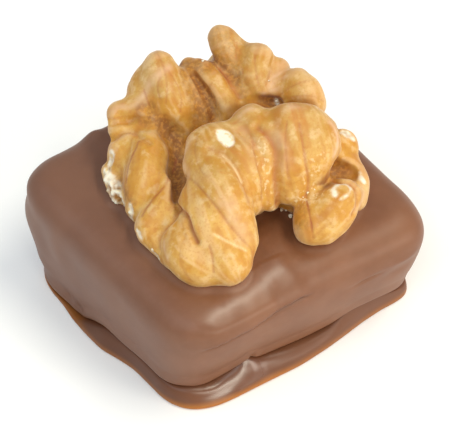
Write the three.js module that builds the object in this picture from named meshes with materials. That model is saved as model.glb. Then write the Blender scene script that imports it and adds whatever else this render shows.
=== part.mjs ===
// A milk chocolate praline: a dipped slab that spreads into a thin foot, with half a walnut kernel
// pressed on top.
// Millimetres, +Z up. The origin is the middle of the base, on the surface that the praline stands on.
// The slab's long sides run along X, and its front is towards -Y.

import * as THREE from "three";

// Chocolate slab. Its corners, seen from above: rear right, rear left, front left, front right.
// The walls lean in towards the base, so the widest level, the rim, is just below the top edge.
const rimCorners = [[15.7, 14.6], [-15.9, 14.4], [-14.6, -13.3], [15.6, -14.9]];
const rimTrim = 5.2; // how far from a corner its rounding starts
const baseCorners = [[14.0, 12.6], [-14.8, 12.0], [-13.5, -12.0], [14.4, -12.8]];
const baseTrim = 4.0;
const slabHeight = 12.9; // top face above the base, in the middle
const topSlope = { x: -0.035, y: 0.045 }; // rise of the top face for each millimetre along X and Y
const topCrown = 0.25; // extra height in the middle of the top face
const edgeRound = 3.0; // how far the top edge's rounding reaches in from the wall
const edgeDrop = 2.6; // how far it reaches down the wall

// Foot: the chocolate that ran down and set round the base.
// Its reach beyond the wall at the start and end of each corner's rounding, and halfway along the
// side after it.
const footReach = [1.2, 1.3, 1.5, 0.9, 0.2, 1.0, 0.6, 1.1, 1.6, 0.4, 0.7, 1.3];
const footHeight = 1.9; // where the wall rises out of it
const footNose = 0.5; // height of its outermost line
const footSole = 0.35; // how far the sole stays inside that line
// A point on its upper side, as shares of its reach and height.
const footShoulder = { reach: 0.6, height: 0.75 };

// Walnut half. Each lobe is a fold of the kernel: places along its middle, as x, y, z and radius.
const lobes = {
  // left wing, from the rear peak round to the front
  leftPeak: [
    [-0.1, 10.4, 21.6, 1.6], [-0.6, 8.0, 20.6, 2.2],
    [-0.6, 6.5, 19.0, 2.0], [-0.4, 5.8, 17.6, 1.5],
  ],
  leftPlate: [[-0.7, 10.1, 20.0, 1.6], [-1.3, 8.7, 18.8, 2.0], [-1.4, 7.8, 17.4, 1.7]],
  leftShoulder: [[-0.9, 10.8, 20.4, 1.2], [-1.8, 10.6, 19.2, 1.4], [-2.3, 10.3, 18.0, 1.4]],
  leftBulge: [[-4.6, 10.3, 17.6, 1.3], [-3.9, 8.8, 17.8, 1.5], [-3.1, 7.1, 16.8, 1.5]],
  leftJoin: [[-4.6, 8.6, 17.0, 1.3], [-4.3, 7.4, 17.0, 1.4], [-3.4, 5.7, 16.2, 1.4]],
  leftUpper: [[-6.0, 7.7, 16.4, 1.6], [-6.8, 7.0, 15.8, 1.7], [-7.3, 6.3, 14.8, 1.5]],
  leftMiddle: [[-5.4, 4.8, 17.0, 1.8], [-7.0, 3.0, 16.2, 2.1], [-8.5, 1.6, 15.0, 1.7]],
  leftLower: [
    [-6.3, 0.5, 16.2, 1.5], [-7.9, -0.8, 15.6, 1.8],
    [-9.4, -1.5, 14.6, 1.6], [-9.8, -3.0, 14.2, 1.3],
  ],
  leftSkirt: [[-7.2, 7.4, 16.2, 1.4], [-7.0, 7.6, 14.8, 1.5], [-6.8, 7.4, 13.6, 1.5]],
  brokenEdge: [[-8.5, 7.4, 14.2, 0.6], [-8.9, 5.8, 14.2, 0.9], [-9.0, 4.3, 14.0, 0.8]],
  valley: [
    [-0.7, 6.1, 15.6, 1.5], [-3.0, 3.7, 15.2, 1.5],
    [-4.8, 1.0, 15.0, 1.6], [-6.1, -1.6, 15.4, 1.6],
  ],
  // ridge between the wings
  middleLeft: [[2.9, 9.1, 20.6, 1.2], [2.7, 8.0, 19.4, 1.3], [2.7, 7.0, 18.0, 1.3]],
  middleRidge: [[3.7, 7.1, 20.9, 1.3], [3.7, 5.1, 20.0, 1.4], [3.9, 4.3, 18.6, 1.3]],
  // right wing, along the rear
  rightPeak: [[6.6, 9.0, 22.6, 1.3], [6.4, 7.4, 21.8, 1.5], [6.6, 6.4, 20.0, 1.5]],
  rightSaddle: [[7.5, 7.2, 21.6, 1.2], [7.8, 6.5, 21.4, 1.2], [7.9, 5.7, 21.4, 1.3]],
  rightBulge: [[8.0, 5.4, 21.6, 1.7], [7.1, 4.3, 20.8, 1.8], [7.1, 3.9, 19.2, 1.5]],
  rightFold: [[9.2, 3.4, 20.8, 1.3], [8.6, 3.1, 19.8, 1.3], [8.2, 3.3, 18.8, 1.1]],
  rightEnd: [[10.1, 1.2, 20.4, 1.6], [10.4, 0.3, 19.8, 1.9], [10.6, -0.2, 18.6, 1.7]],
  rightInner: [[9.1, 1.6, 19.6, 1.4], [9.1, 1.2, 18.8, 1.4], [9.2, 1.1, 18.0, 1.3]],
  // front lobe, from its lower left tip to the right
  frontTip: [[-8.2, -4.8, 15.8, 1.6], [-8.9, -6.2, 15.0, 2.2], [-8.2, -7.5, 14.4, 2.4]],
  frontLow: [[-5.0, -3.5, 17.6, 2.2], [-6.1, -6.0, 16.6, 2.4], [-6.3, -8.9, 14.8, 2.5]],
  frontHigh: [[-2.8, -1.2, 19.0, 2.3], [-3.7, -5.0, 18.6, 2.5], [-4.3, -8.0, 15.8, 2.0]],
  frontScar: [[-0.7, -0.3, 19.8, 2.1], [-0.7, -3.6, 19.4, 2.2], [-1.0, -5.3, 16.6, 1.6]],
  frontNarrow: [[3.2, -0.3, 20.4, 1.9], [2.2, -3.1, 19.4, 1.8], [1.0, -4.9, 16.4, 1.5]],
  frontWide: [[5.5, -2.9, 20.6, 2.2], [4.4, -5.0, 19.0, 2.2], [3.6, -6.3, 16.4, 1.7]],
  frontRight: [[7.2, -3.6, 20.2, 2.1], [6.5, -5.6, 18.8, 2.1], [5.1, -6.6, 16.6, 1.6]],
  frontEnd: [[8.2, -4.5, 19.4, 1.8], [8.2, -5.4, 18.4, 1.5], [7.1, -5.9, 17.0, 1.3]],
  frontCrest: [
    [-0.7, 0.1, 19.6, 1.9], [1.6, -0.2, 20.0, 1.8],
    [3.9, -1.0, 20.4, 1.8], [5.8, -2.3, 20.2, 1.9],
  ],
  // right end, curled round to the front
  curlTop: [[10.9, -4.9, 17.0, 1.2], [10.9, -5.4, 16.4, 1.2], [10.2, -5.9, 15.6, 1.1]],
  curlRim: [[10.0, -7.0, 15.8, 1.2], [9.7, -8.7, 15.2, 1.1], [8.5, -9.9, 14.4, 1.1]],
  curlBody: [[7.3, -9.7, 15.6, 1.6], [5.5, -10.2, 15.2, 2.2], [4.1, -10.3, 14.4, 2.1]],
  curlTip: [[4.3, -8.5, 15.4, 1.3], [3.3, -9.2, 14.8, 1.5], [2.7, -10.0, 14.2, 1.5]],
  // rear side, from left to right
  rearLeft: [[-2.6, 9.2, 18.6, 1.6], [-3.0, 9.8, 16.2, 1.8], [-3.4, 9.2, 13.8, 1.8]],
  rearPeak: [[-0.4, 9.8, 20.6, 1.8], [-0.2, 10.6, 17.4, 2.0], [-0.4, 10.0, 13.8, 1.9]],
  rearMiddle: [[2.6, 8.8, 19.4, 1.6], [3.2, 9.8, 16.8, 2.0], [3.0, 9.4, 13.6, 1.9]],
  rearRight: [[6.7, 8.2, 20.0, 1.5], [6.6, 9.2, 16.8, 2.0], [6.4, 9.2, 13.4, 2.0]],
  rearCorner: [[8.2, 5.8, 20.0, 1.6], [9.4, 7.0, 16.8, 1.9], [9.4, 7.0, 13.4, 1.8]],
  rearEnd: [[9.0, 2.8, 19.0, 1.5], [10.4, 3.6, 16.2, 1.8], [10.4, 3.6, 13.2, 1.7]],
  rearTail: [[9.6, -0.2, 17.2, 1.4], [10.5, 0.5, 15.2, 1.8], [10.5, 0.4, 13.2, 1.8]],
  // thick core below the folds
  frontBody: [
    [-5.8, -5.2, 13.6, 2.8], [-1.8, -3.0, 16.0, 3.2],
    [3.8, -2.2, 16.8, 3.4], [7.4, -4.0, 15.8, 2.6],
  ],
  leftBody: [[-7.4, 0.4, 13.2, 2.4], [-5.8, 4.2, 14.4, 2.8], [-2.4, 7.2, 17.2, 3.0]],
  rightBody: [[1.8, 6.0, 16.0, 3.0], [5.8, 5.4, 17.4, 3.2], [8.6, 1.6, 16.4, 3.0]],
  middleBody: [[-2.8, 1.0, 13.2, 3.0], [1.0, 2.2, 14.2, 3.2], [5.0, 1.4, 14.6, 3.2]],
  middleCore: [[0.6, 8.8, 16.6, 1.8], [1.0, 8.4, 17.8, 1.5], [1.4, 7.4, 18.0, 1.4]],
  curlCore: [[9.8, -4.4, 14.0, 1.8], [8.4, -7.6, 13.6, 2.0], [5.2, -9.0, 13.4, 2.0]],
  rearCore: [
    [-1.2, 7.4, 13.2, 2.2], [3.0, 7.3, 13.9, 2.5],
    [6.6, 6.4, 13.4, 2.6], [8.2, 3.4, 13.2, 2.3],
  ],
  leftCore: [[-6.2, -1.8, 13.4, 1.8], [-7.5, -2.8, 14.0, 1.6], [-8.2, -3.5, 13.8, 1.4]],
};
const lobeSteps = 6; // straight stretches along each lobe
const foldBlend = 0.6; // how softly two lobes run into each other
const seatGap = 0.35; // between the walnut's underside and the chocolate that it follows

// Mesh fineness.
const lapSteps = 80;
const wallSteps = 7;
const edgeSteps = 5;
const capRings = 5;
const nutCell = 0.67; // grid that the walnut's surface is found on
const pinchFill = 0.1; // depth given to a filled grid point, in cells

// Height of the chocolate's top face over a place on it.
function topHeight(x, y) {
  const [reachX, reachY] = rimCorners[0];
  const crown = Math.cos((x / reachX) * (Math.PI / 2)) * Math.cos((y / reachY) * (Math.PI / 2));
  return slabHeight + topSlope.x * x + topSlope.y * y + topCrown * Math.max(0, crown);
}

// Evenly spaced points round four corners that are rounded off, each with the direction out of the wall.
function roundedLap(corners, trim) {
  const places = corners.map(([x, y]) => new THREE.Vector2(x, y));
  const path = new THREE.Path();
  places.forEach((corner, i) => {
    const behind = places[(i + places.length - 1) % places.length];
    const ahead = places[(i + 1) % places.length];
    const start = corner.clone().add(behind.clone().sub(corner).setLength(trim));
    const end = corner.clone().add(ahead.clone().sub(corner).setLength(trim));
    if (i === 0) path.moveTo(start.x, start.y);
    else path.lineTo(start.x, start.y);
    path.quadraticCurveTo(corner.x, corner.y, end.x, end.y);
  });
  path.closePath();
  const points = path.getSpacedPoints(lapSteps).slice(0, lapSteps);
  return points.map((point, i) => {
    const behind = points[(i + lapSteps - 1) % lapSteps];
    const along = points[(i + 1) % lapSteps].clone().sub(behind).normalize();
    return { point, out: new THREE.Vector2(along.y, -along.x) };
  });
}

// The foot's reach round the lap, as a smooth closed curve through its given values.
function reachRoundLap() {
  const curve = new THREE.CatmullRomCurve3(
    footReach.map((reach, i) => new THREE.Vector3(reach, i, 0)),
    true,
    "catmullrom",
  );
  return Array.from({ length: lapSteps }, (_, i) => curve.getPoint(i / lapSteps).x);
}

// The rings of the chocolate's side, from the sole up to the flat of the top, each with a point for
// each lap step.
function sideRings() {
  const rim = roundedLap(rimCorners, rimTrim);
  const base = roundedLap(baseCorners, baseTrim);
  const reach = reachRoundLap();
  const rimHeight = rim.map(({ point }) => topHeight(point.x, point.y) - edgeDrop);
  const footRing = (pushOf, z) =>
    base.map(({ point, out }, i) => {
      const place = point.clone().addScaledVector(out, pushOf(reach[i]));
      return [place.x, place.y, z];
    });
  const rings = [
    footRing((r) => r - footSole, 0),
    footRing((r) => r, footNose),
    footRing((r) => r * footShoulder.reach, footHeight * footShoulder.height),
  ];
  for (let step = 0; step <= wallSteps; step++) {
    const rise = step / wallSteps;
    const swell = Math.sin((rise * Math.PI) / 2);
    rings.push(
      rim.map(({ point }, i) => {
        const place = base[i].point.clone().lerp(point, swell);
        return [place.x, place.y, THREE.MathUtils.lerp(footHeight, rimHeight[i], rise)];
      }),
    );
  }
  for (let step = 1; step <= edgeSteps; step++) {
    const turn = (step / edgeSteps) * (Math.PI / 2);
    rings.push(
      rim.map(({ point, out }) => {
        const place = point.clone().addScaledVector(out, -edgeRound * (1 - Math.cos(turn)));
        return [place.x, place.y, topHeight(place.x, place.y) - edgeDrop * (1 - Math.sin(turn))];
      }),
    );
  }
  return rings;
}

// The chocolate: its side rings, closed by rings that shrink to the middle of the sole and of the top.
function chocolateGeometry() {
  const side = sideRings();
  const sole = side[0];
  const rimOfTop = side.at(-1);
  const rings = [];
  for (let i = 1; i < capRings; i++) {
    const share = i / capRings;
    rings.push(sole.map(([x, y]) => [x * share, y * share, 0]));
  }
  rings.push(...side);
  for (let i = capRings - 1; i >= 1; i--) {
    rings.push(
      rimOfTop.map(([rimX, rimY]) => {
        const x = (rimX * i) / capRings;
        const y = (rimY * i) / capRings;
        return [x, y, topHeight(x, y)];
      }),
    );
  }
  const points = [[0, 0, 0], ...rings.flat(), [0, 0, topHeight(0, 0)]];
  const topMiddle = points.length - 1;
  const at = (ring, i) => 1 + ring * lapSteps + (i % lapSteps);
  const triangles = [];
  for (let i = 0; i < lapSteps; i++) {
    triangles.push(0, at(0, i + 1), at(0, i));
    for (let ring = 0; ring + 1 < rings.length; ring++) {
      triangles.push(at(ring, i), at(ring, i + 1), at(ring + 1, i + 1));
      triangles.push(at(ring, i), at(ring + 1, i + 1), at(ring + 1, i));
    }
    triangles.push(topMiddle, at(rings.length - 1, i), at(rings.length - 1, i + 1));
  }
  return geometryOf(points.flat(), triangles);
}

function geometryOf(points, triangles) {
  const geometry = new THREE.BufferGeometry();
  geometry.setAttribute("position", new THREE.Float32BufferAttribute(points, 3));
  geometry.setIndex(triangles);
  geometry.computeVertexNormals();
  return geometry;
}

// A lobe as straight stretches of a smooth path, with the radius at both ends of each.
function lobeStretches(places) {
  const middle = places.map(([x, y, z]) => new THREE.Vector3(x, y, z));
  const path = new THREE.CatmullRomCurve3(middle, false, "catmullrom");
  const girth = new THREE.SplineCurve(places.map(([, , , radius], i) => new THREE.Vector2(i, radius)));
  return Array.from({ length: lobeSteps }, (_, i) => {
    const from = path.getPoint(i / lobeSteps);
    const run = path.getPoint((i + 1) / lobeSteps).sub(from);
    const startRadius = girth.getPoint(i / lobeSteps).y;
    const endRadius = girth.getPoint((i + 1) / lobeSteps).y;
    return { from, run, startRadius, growth: endRadius - startRadius };
  });
}

// Distance from a point to a tapering stretch, negative inside.
function stretchDistance(point, { from, run, startRadius, growth }) {
  const offset = point.clone().sub(from);
  const share = THREE.MathUtils.clamp(offset.dot(run) / run.lengthSq(), 0, 1);
  return offset.addScaledVector(run, -share).length() - (startRadius + growth * share);
}

// The smaller of two distances, rounded off where they are alike.
function blend(a, b) {
  const overlap = Math.max(0, foldBlend - Math.abs(a - b)) / foldBlend;
  return Math.min(a, b) - (overlap * overlap * foldBlend) / 4;
}

const walnutLobes = Object.values(lobes).map(lobeStretches);

// Distance to the walnut's surface, negative inside. Its underside follows the chocolate.
function walnutDistance(point) {
  const toLobes = walnutLobes.map((stretches) =>
    Math.min(...stretches.map((stretch) => stretchDistance(point, stretch))),
  );
  return Math.max(toLobes.reduce(blend), topHeight(point.x, point.y) + seatGap - point.z);
}

// The box that holds every lobe, with two empty cells round it.
function walnutBox() {
  const box = new THREE.Box3();
  for (const [x, y, z, radius] of Object.values(lobes).flat()) {
    const reach = new THREE.Vector3().setScalar(radius + 2 * nutCell);
    const middle = new THREE.Vector3(x, y, z);
    box.expandByPoint(middle.clone().add(reach));
    box.expandByPoint(middle.clone().sub(reach));
  }
  return box;
}

// A grid cell's corners are numbered 0 to 7, with bit 1, 2 and 4 set on its upper side in X, Y and Z.
const lastCorner = 7;
const axisBits = [1, 2, 4];
const cornerNumbers = Array.from({ length: lastCorner + 1 }, (_, corner) => corner);
const cellEdges = cornerNumbers.flatMap((corner) =>
  axisBits.filter((bit) => !(corner & bit)).map((bit) => [corner, corner | bit]),
);

// Distances at the points of a grid over a box whose outer layers are empty.
function sampleGrid(distance, box, cell) {
  const size = box.getSize(new THREE.Vector3()).divideScalar(cell).ceil().addScalar(1);
  const strides = [1, size.x, size.x * size.y];
  const place = (at) => {
    const [i, j, k] = [at % size.x, Math.floor(at / size.x) % size.y, Math.floor(at / strides[2])];
    return new THREE.Vector3(i, j, k).multiplyScalar(cell).add(box.min);
  };
  const values = Float64Array.from({ length: strides[2] * size.z }, (_, at) => distance(place(at)));
  const stepTo = cornerNumbers.map((corner) =>
    axisBits.reduce((sum, bit, axis) => sum + (corner & bit ? strides[axis] : 0), 0),
  );
  return { cell, strides, place, values, stepTo };
}

// The corner sets where a body would touch itself: a diagonal pair of a square or of a cell, with all
// the other corners on the other side of the surface.
const pinches = [
  ...axisBits.map((bit, axis) => {
    const next = axisBits[(axis + 1) % axisBits.length];
    return { pair: [0, bit | next], others: [bit, next] };
  }),
  ...cornerNumbers.slice(0, 4).map((corner) => {
    const pair = [corner, lastCorner - corner];
    return { pair, others: cornerNumbers.filter((other) => !pair.includes(other)) };
  }),
];

// Fills the outside point nearest to the surface at every such place, until none is left.
function fillPinches({ cell, values, stepTo }) {
  let filled = true;
  while (filled) {
    filled = false;
    for (let at = 0; at < values.length - stepTo[lastCorner]; at++) {
      for (const { pair, others } of pinches) {
        const inside = (corner) => values[at + stepTo[corner]] < 0;
        const pairInside = inside(pair[0]);
        if (inside(pair[1]) !== pairInside) continue;
        if (others.some((corner) => inside(corner) === pairInside)) continue;
        const outside = pairInside ? others : pair;
        const points = outside.map((corner) => at + stepTo[corner]);
        const nearest = points.reduce((a, b) => (values[a] <= values[b] ? a : b));
        values[nearest] = -pinchFill * cell;
        filled = true;
      }
    }
  }
}

// The middle of the places where a cell's edges cross the surface, or null where none does.
function cellVertex({ values, stepTo, place }, at) {
  const middle = new THREE.Vector3();
  let crossings = 0;
  for (const [a, b] of cellEdges) {
    const [from, to] = [values[at + stepTo[a]], values[at + stepTo[b]]];
    if (from < 0 === to < 0) continue;
    middle.add(place(at + stepTo[a]).lerp(place(at + stepTo[b]), from / (from - to)));
    crossings++;
  }
  return crossings ? middle.divideScalar(crossings) : null;
}

// The surface where a distance is zero: a vertex in each cell that it passes through, and two triangles
// over each grid edge that it crosses.
function surfaceOf(distance, box, cell) {
  const grid = sampleGrid(distance, box, cell);
  fillPinches(grid);
  const { values, strides, stepTo } = grid;
  const points = [];
  const vertexOf = new Map();
  for (let at = 0; at < values.length - stepTo[lastCorner]; at++) {
    const vertex = cellVertex(grid, at);
    if (!vertex) continue;
    vertexOf.set(at, points.length);
    points.push(vertex);
  }
  const triangles = [];
  for (let at = 0; at < values.length - stepTo[lastCorner]; at++) {
    strides.forEach((along, axis) => {
      const inside = values[at] < 0;
      if (inside === values[at + along] < 0) return;
      const right = strides[(axis + 1) % strides.length];
      const up = strides[(axis + 2) % strides.length];
      const quad = [at - right - up, at - up, at, at - right].map((cellAt) => vertexOf.get(cellAt));
      const [a, b, c, d] = inside ? quad : quad.reverse();
      const shortAcross = points[a].distanceTo(points[c]) <= points[b].distanceTo(points[d]);
      triangles.push(...(shortAcross ? [a, b, c, a, c, d] : [a, b, d, b, c, d]));
    });
  }
  return geometryOf(points.flatMap((point) => point.toArray()), triangles);
}

const milkChocolate = new THREE.MeshStandardMaterial({ color: 0x8a5b42, roughness: 0.35, metalness: 0 });
const walnutSkin = new THREE.MeshStandardMaterial({ color: 0xd19a55, roughness: 0.55, metalness: 0 });

const chocolate = new THREE.Mesh(chocolateGeometry(), milkChocolate);
chocolate.name = "chocolate";
const walnut = new THREE.Mesh(surfaceOf(walnutDistance, walnutBox(), nutCell), walnutSkin);
walnut.name = "walnut_half";

const praline = new THREE.Group();
praline.add(chocolate, walnut);
export default praline;
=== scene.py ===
"""A milk chocolate praline with half a walnut kernel on top, on a pale floor.

Sizes are in millimetres and become metres when a mesh is made. The slab's long sides run along X, its
front is towards -Y, and the origin is the middle of the base.
"""
import math

import bpy
import numpy as np
from mathutils import Matrix, Vector


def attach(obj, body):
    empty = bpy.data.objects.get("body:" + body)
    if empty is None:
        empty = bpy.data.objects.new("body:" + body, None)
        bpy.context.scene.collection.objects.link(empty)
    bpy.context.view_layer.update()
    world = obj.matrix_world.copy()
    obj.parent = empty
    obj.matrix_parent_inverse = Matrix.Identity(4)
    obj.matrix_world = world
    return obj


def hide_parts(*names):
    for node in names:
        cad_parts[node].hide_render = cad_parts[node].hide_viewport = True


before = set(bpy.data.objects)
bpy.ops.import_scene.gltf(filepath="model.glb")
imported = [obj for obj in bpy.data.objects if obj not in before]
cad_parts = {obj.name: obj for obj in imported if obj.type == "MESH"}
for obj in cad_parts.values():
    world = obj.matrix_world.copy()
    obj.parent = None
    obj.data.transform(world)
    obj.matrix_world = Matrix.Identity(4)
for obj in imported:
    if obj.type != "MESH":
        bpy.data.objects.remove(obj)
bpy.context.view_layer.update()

MM = 0.001

# Chocolate slab: corners seen from above, from the rear right one round to the left.
RIM_CORNERS = [(15.7, 14.6), (-15.9, 14.4), (-14.6, -13.3), (15.6, -14.9)]
RIM_TRIM = 5.2
BASE_CORNERS = [(14.0, 12.6), (-14.8, 12.0), (-13.5, -12.0), (14.4, -12.8)]
BASE_TRIM = 4.0
SLAB_HEIGHT = 12.9
TOP_SLOPE = (-0.035, 0.045)
TOP_CROWN = 0.25
EDGE_ROUND = 3.0
EDGE_DROP = 2.6
WALL_FOOT = 1.9  # height where the wall starts to lean out

# Foot: its reach beyond the wall, and the height of the seam where the wall comes out of it.
# Each is given at shares of the way round, from the rear right corner by the rear and left to the front.
FOOT_REACH = [
    (0.00, 1.2), (0.08, 1.3), (0.16, 1.5), (0.25, 0.9), (0.32, 0.1), (0.35, 0.35), (0.37, 0.8),
    (0.39, 1.05), (0.42, 1.15), (0.44, 0.65), (0.46, 0.3), (0.49, 0.4), (0.52, 0.55), (0.545, 0.75),
    (0.57, 1.05), (0.61, 1.2), (0.65, 1.4), (0.683, 1.15), (0.70, 0.92), (0.717, 0.66), (0.733, 0.4),
    (0.762, 0.15), (0.778, 0.35), (0.788, 0.65), (0.795, 0.6), (0.802, 0.1), (0.85, 0.7), (0.92, 1.3),
]
SEAM_HEIGHT = [
    (0.00, 1.9), (0.10, 2.2), (0.18, 1.7), (0.27, 1.4), (0.32, 0.6), (0.35, 0.45), (0.375, 0.4),
    (0.40, 1.7), (0.42, 2.65), (0.47, 2.6), (0.51, 2.4), (0.53, 2.9), (0.553, 2.8), (0.57, 3.1),
    (0.591, 3.6), (0.602, 4.5), (0.606, 3.3), (0.63, 2.8), (0.67, 2.1), (0.692, 2.0), (0.712, 3.1),
    (0.745, 2.8), (0.795, 1.3), (0.85, 1.8), (0.93, 2.1),
]
# How far the seam stands further in and lower at the front, where the foot is flatter.
SEAM_INSET = [(0.00, 0.0), (0.50, 0.0), (0.53, 0.6), (0.56, 0.9), (0.60, 0.8), (0.65, 0.4), (0.71, 0.0)]
# How straight the foot slopes down from the seam, where it shines, from 0 for round to 1.
FOOT_STRAIGHT = [
    (0.00, 0.0), (0.52, 0.0), (0.54, 1.0), (0.572, 1.0), (0.582, 0.4), (0.59, 1.0), (0.614, 1.0),
    (0.64, 0.0),
]
FOOT_NOSE = 0.38  # height of the foot's outermost line
FOOT_SOLE = 0.3  # how far the sole stays inside that line
FOOT_UNDER = (0.05, 0.35)  # the line between them: how far inside, and its share of the nose's height
# Lines from the nose up to the seam: share of the reach, share of the height and what the reach gains.
FOOT_ROUND = [(0.95, 0.28, 0.0), (0.76, 0.6, 0.05), (0.38, 0.9, 0.08)]
FOOT_SLOPE = [(0.9, 0.14), (0.64, 0.44), (0.32, 0.8)]  # both shares where the foot is straight
SEAM_DEPTH = 0.22
# The lip above the seam: how far it stands out, and its height above the seam.
LIP = [(0.04, 0.12), (0.2, 0.45), (0.12, 1.1)]
LIP_TOP = 1.9  # where the plain wall starts, above the seam

# Soft swellings and dents of the wall: share of the lap, height, width as a share, tallness and amount.
SWELLINGS = [
    (0.29, 11.2, 0.03, 1.1, -0.4), (0.285, 8.4, 0.03, 1.6, 0.3), (0.30, 3.2, 0.03, 1.5, 0.25),
    (0.365, 9.5, 0.012, 2.5, 0.14), (0.39, 9.0, 0.016, 3.5, -0.15), (0.44, 8.5, 0.018, 4.0, 0.16),
    (0.475, 8.0, 0.014, 3.5, -0.1), (0.719, 8.3, 0.012, 0.22, -0.16), (0.72, 8.8, 0.014, 0.4, 0.06),
    (0.757, 8.6, 0.014, 0.5, 0.14), (0.757, 7.2, 0.018, 0.8, -0.16),
    (0.78, 9.5, 0.025, 2.0, 0.15), (0.355, 1.6, 0.006, 0.6, -0.3), (0.372, 1.4, 0.006, 0.6, -0.3),
    (0.602, 1.6, 0.016, 0.9, 0.12), (0.603, 3.6, 0.003, 0.5, -0.3),
    (0.12, 7.5, 0.03, 3.0, 0.15), (0.19, 8.0, 0.025, 3.0, -0.15), (0.90, 7.5, 0.03, 3.0, -0.15),
]
SOLE_EDGE = 0.3  # the height below which the chocolate stays as it is, so that it stands flat
# Lower edge of the chocolate that ran over itself on the front wall, as x and height.
FOLD = [
    (-12.6, 9.3), (-10.5, 9.9), (-8.6, 10.0), (-6.9, 9.9), (-5.4, 10.1), (-3.3, 10.5), (-1.0, 10.5),
    (0.6, 10.2),
]
FOLD_STEP = 0.34
FRONT_WALL = (-10, 6)  # the fold is in front of this y and above this height
FOLD_END = 2  # the length over which it runs out at each end
# Ridge along the top's front edge, as x and y.
RIDGE = [(-12.6, -13.4), (-10.5, -13.8), (-8.5, -13.9), (-6.5, -14.0), (-4.6, -14.0)]
RIDGE_HEIGHT = 0.3
RIDGE_WIDTH = 0.75
# Bumps on the top's rear edge: x, y, width and height.
REAR_BUMPS = [(-6.0, 13.4, 1.1, 0.75), (-3.6, 13.0, 1.4, 0.5)]
# Chocolate that the pressed kernel pushed up between its tip and its curl: x, y of the slope and height.
PUSHED = [
    (-9.0, -12.5, 0.0), (-6.5, -12.4, 0.2), (-4.0, -12.0, 0.45), (-1.6, -11.2, 0.5), (0.5, -10.2, 0.4),
    (4.0, -8.5, 0.0),
]
PUSHED_START = (-1.5, 2.2)  # how far inside that line it rises
PUSHED_END = (3, 6)  # and where it falls again
RISE_BELOW = (3.4, 1.6)  # how far below the top the raised places start, and where they rise in full
COLLAR = 0.3  # how far the chocolate rises where it meets the kernel
# Glossy strip along the top's front edge, as a path with x, y, z and radius.
GLOSSY_STRIP = [
    (-11.3, -12.4, 12.1, 0.7), (-9.3, -12.1, 12.4, 0.9), (-6.1, -12.4, 12.4, 0.9),
    (-3.8, -12.1, 12.7, 0.9), (-1.6, -11.0, 12.8, 1.0),
]
STRIP_GLOSS = 0.7
FRONT_CORNER = 0.58  # share of the lap at the corner that points at the viewer
SHADED_START = (0.30, 0.34)  # shares of the lap where painted shade darkens the foot on the left
SHADED_END = (0.49, 0.54)
FAINT_SEAM = (0.635, 0.03)  # where the seam's painted shade is fainter: middle and width as shares of the lap
GREY_SHEEN_SIDE = (-0.8, 0.6)  # the way that the walls with painted grey sheen face
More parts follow.
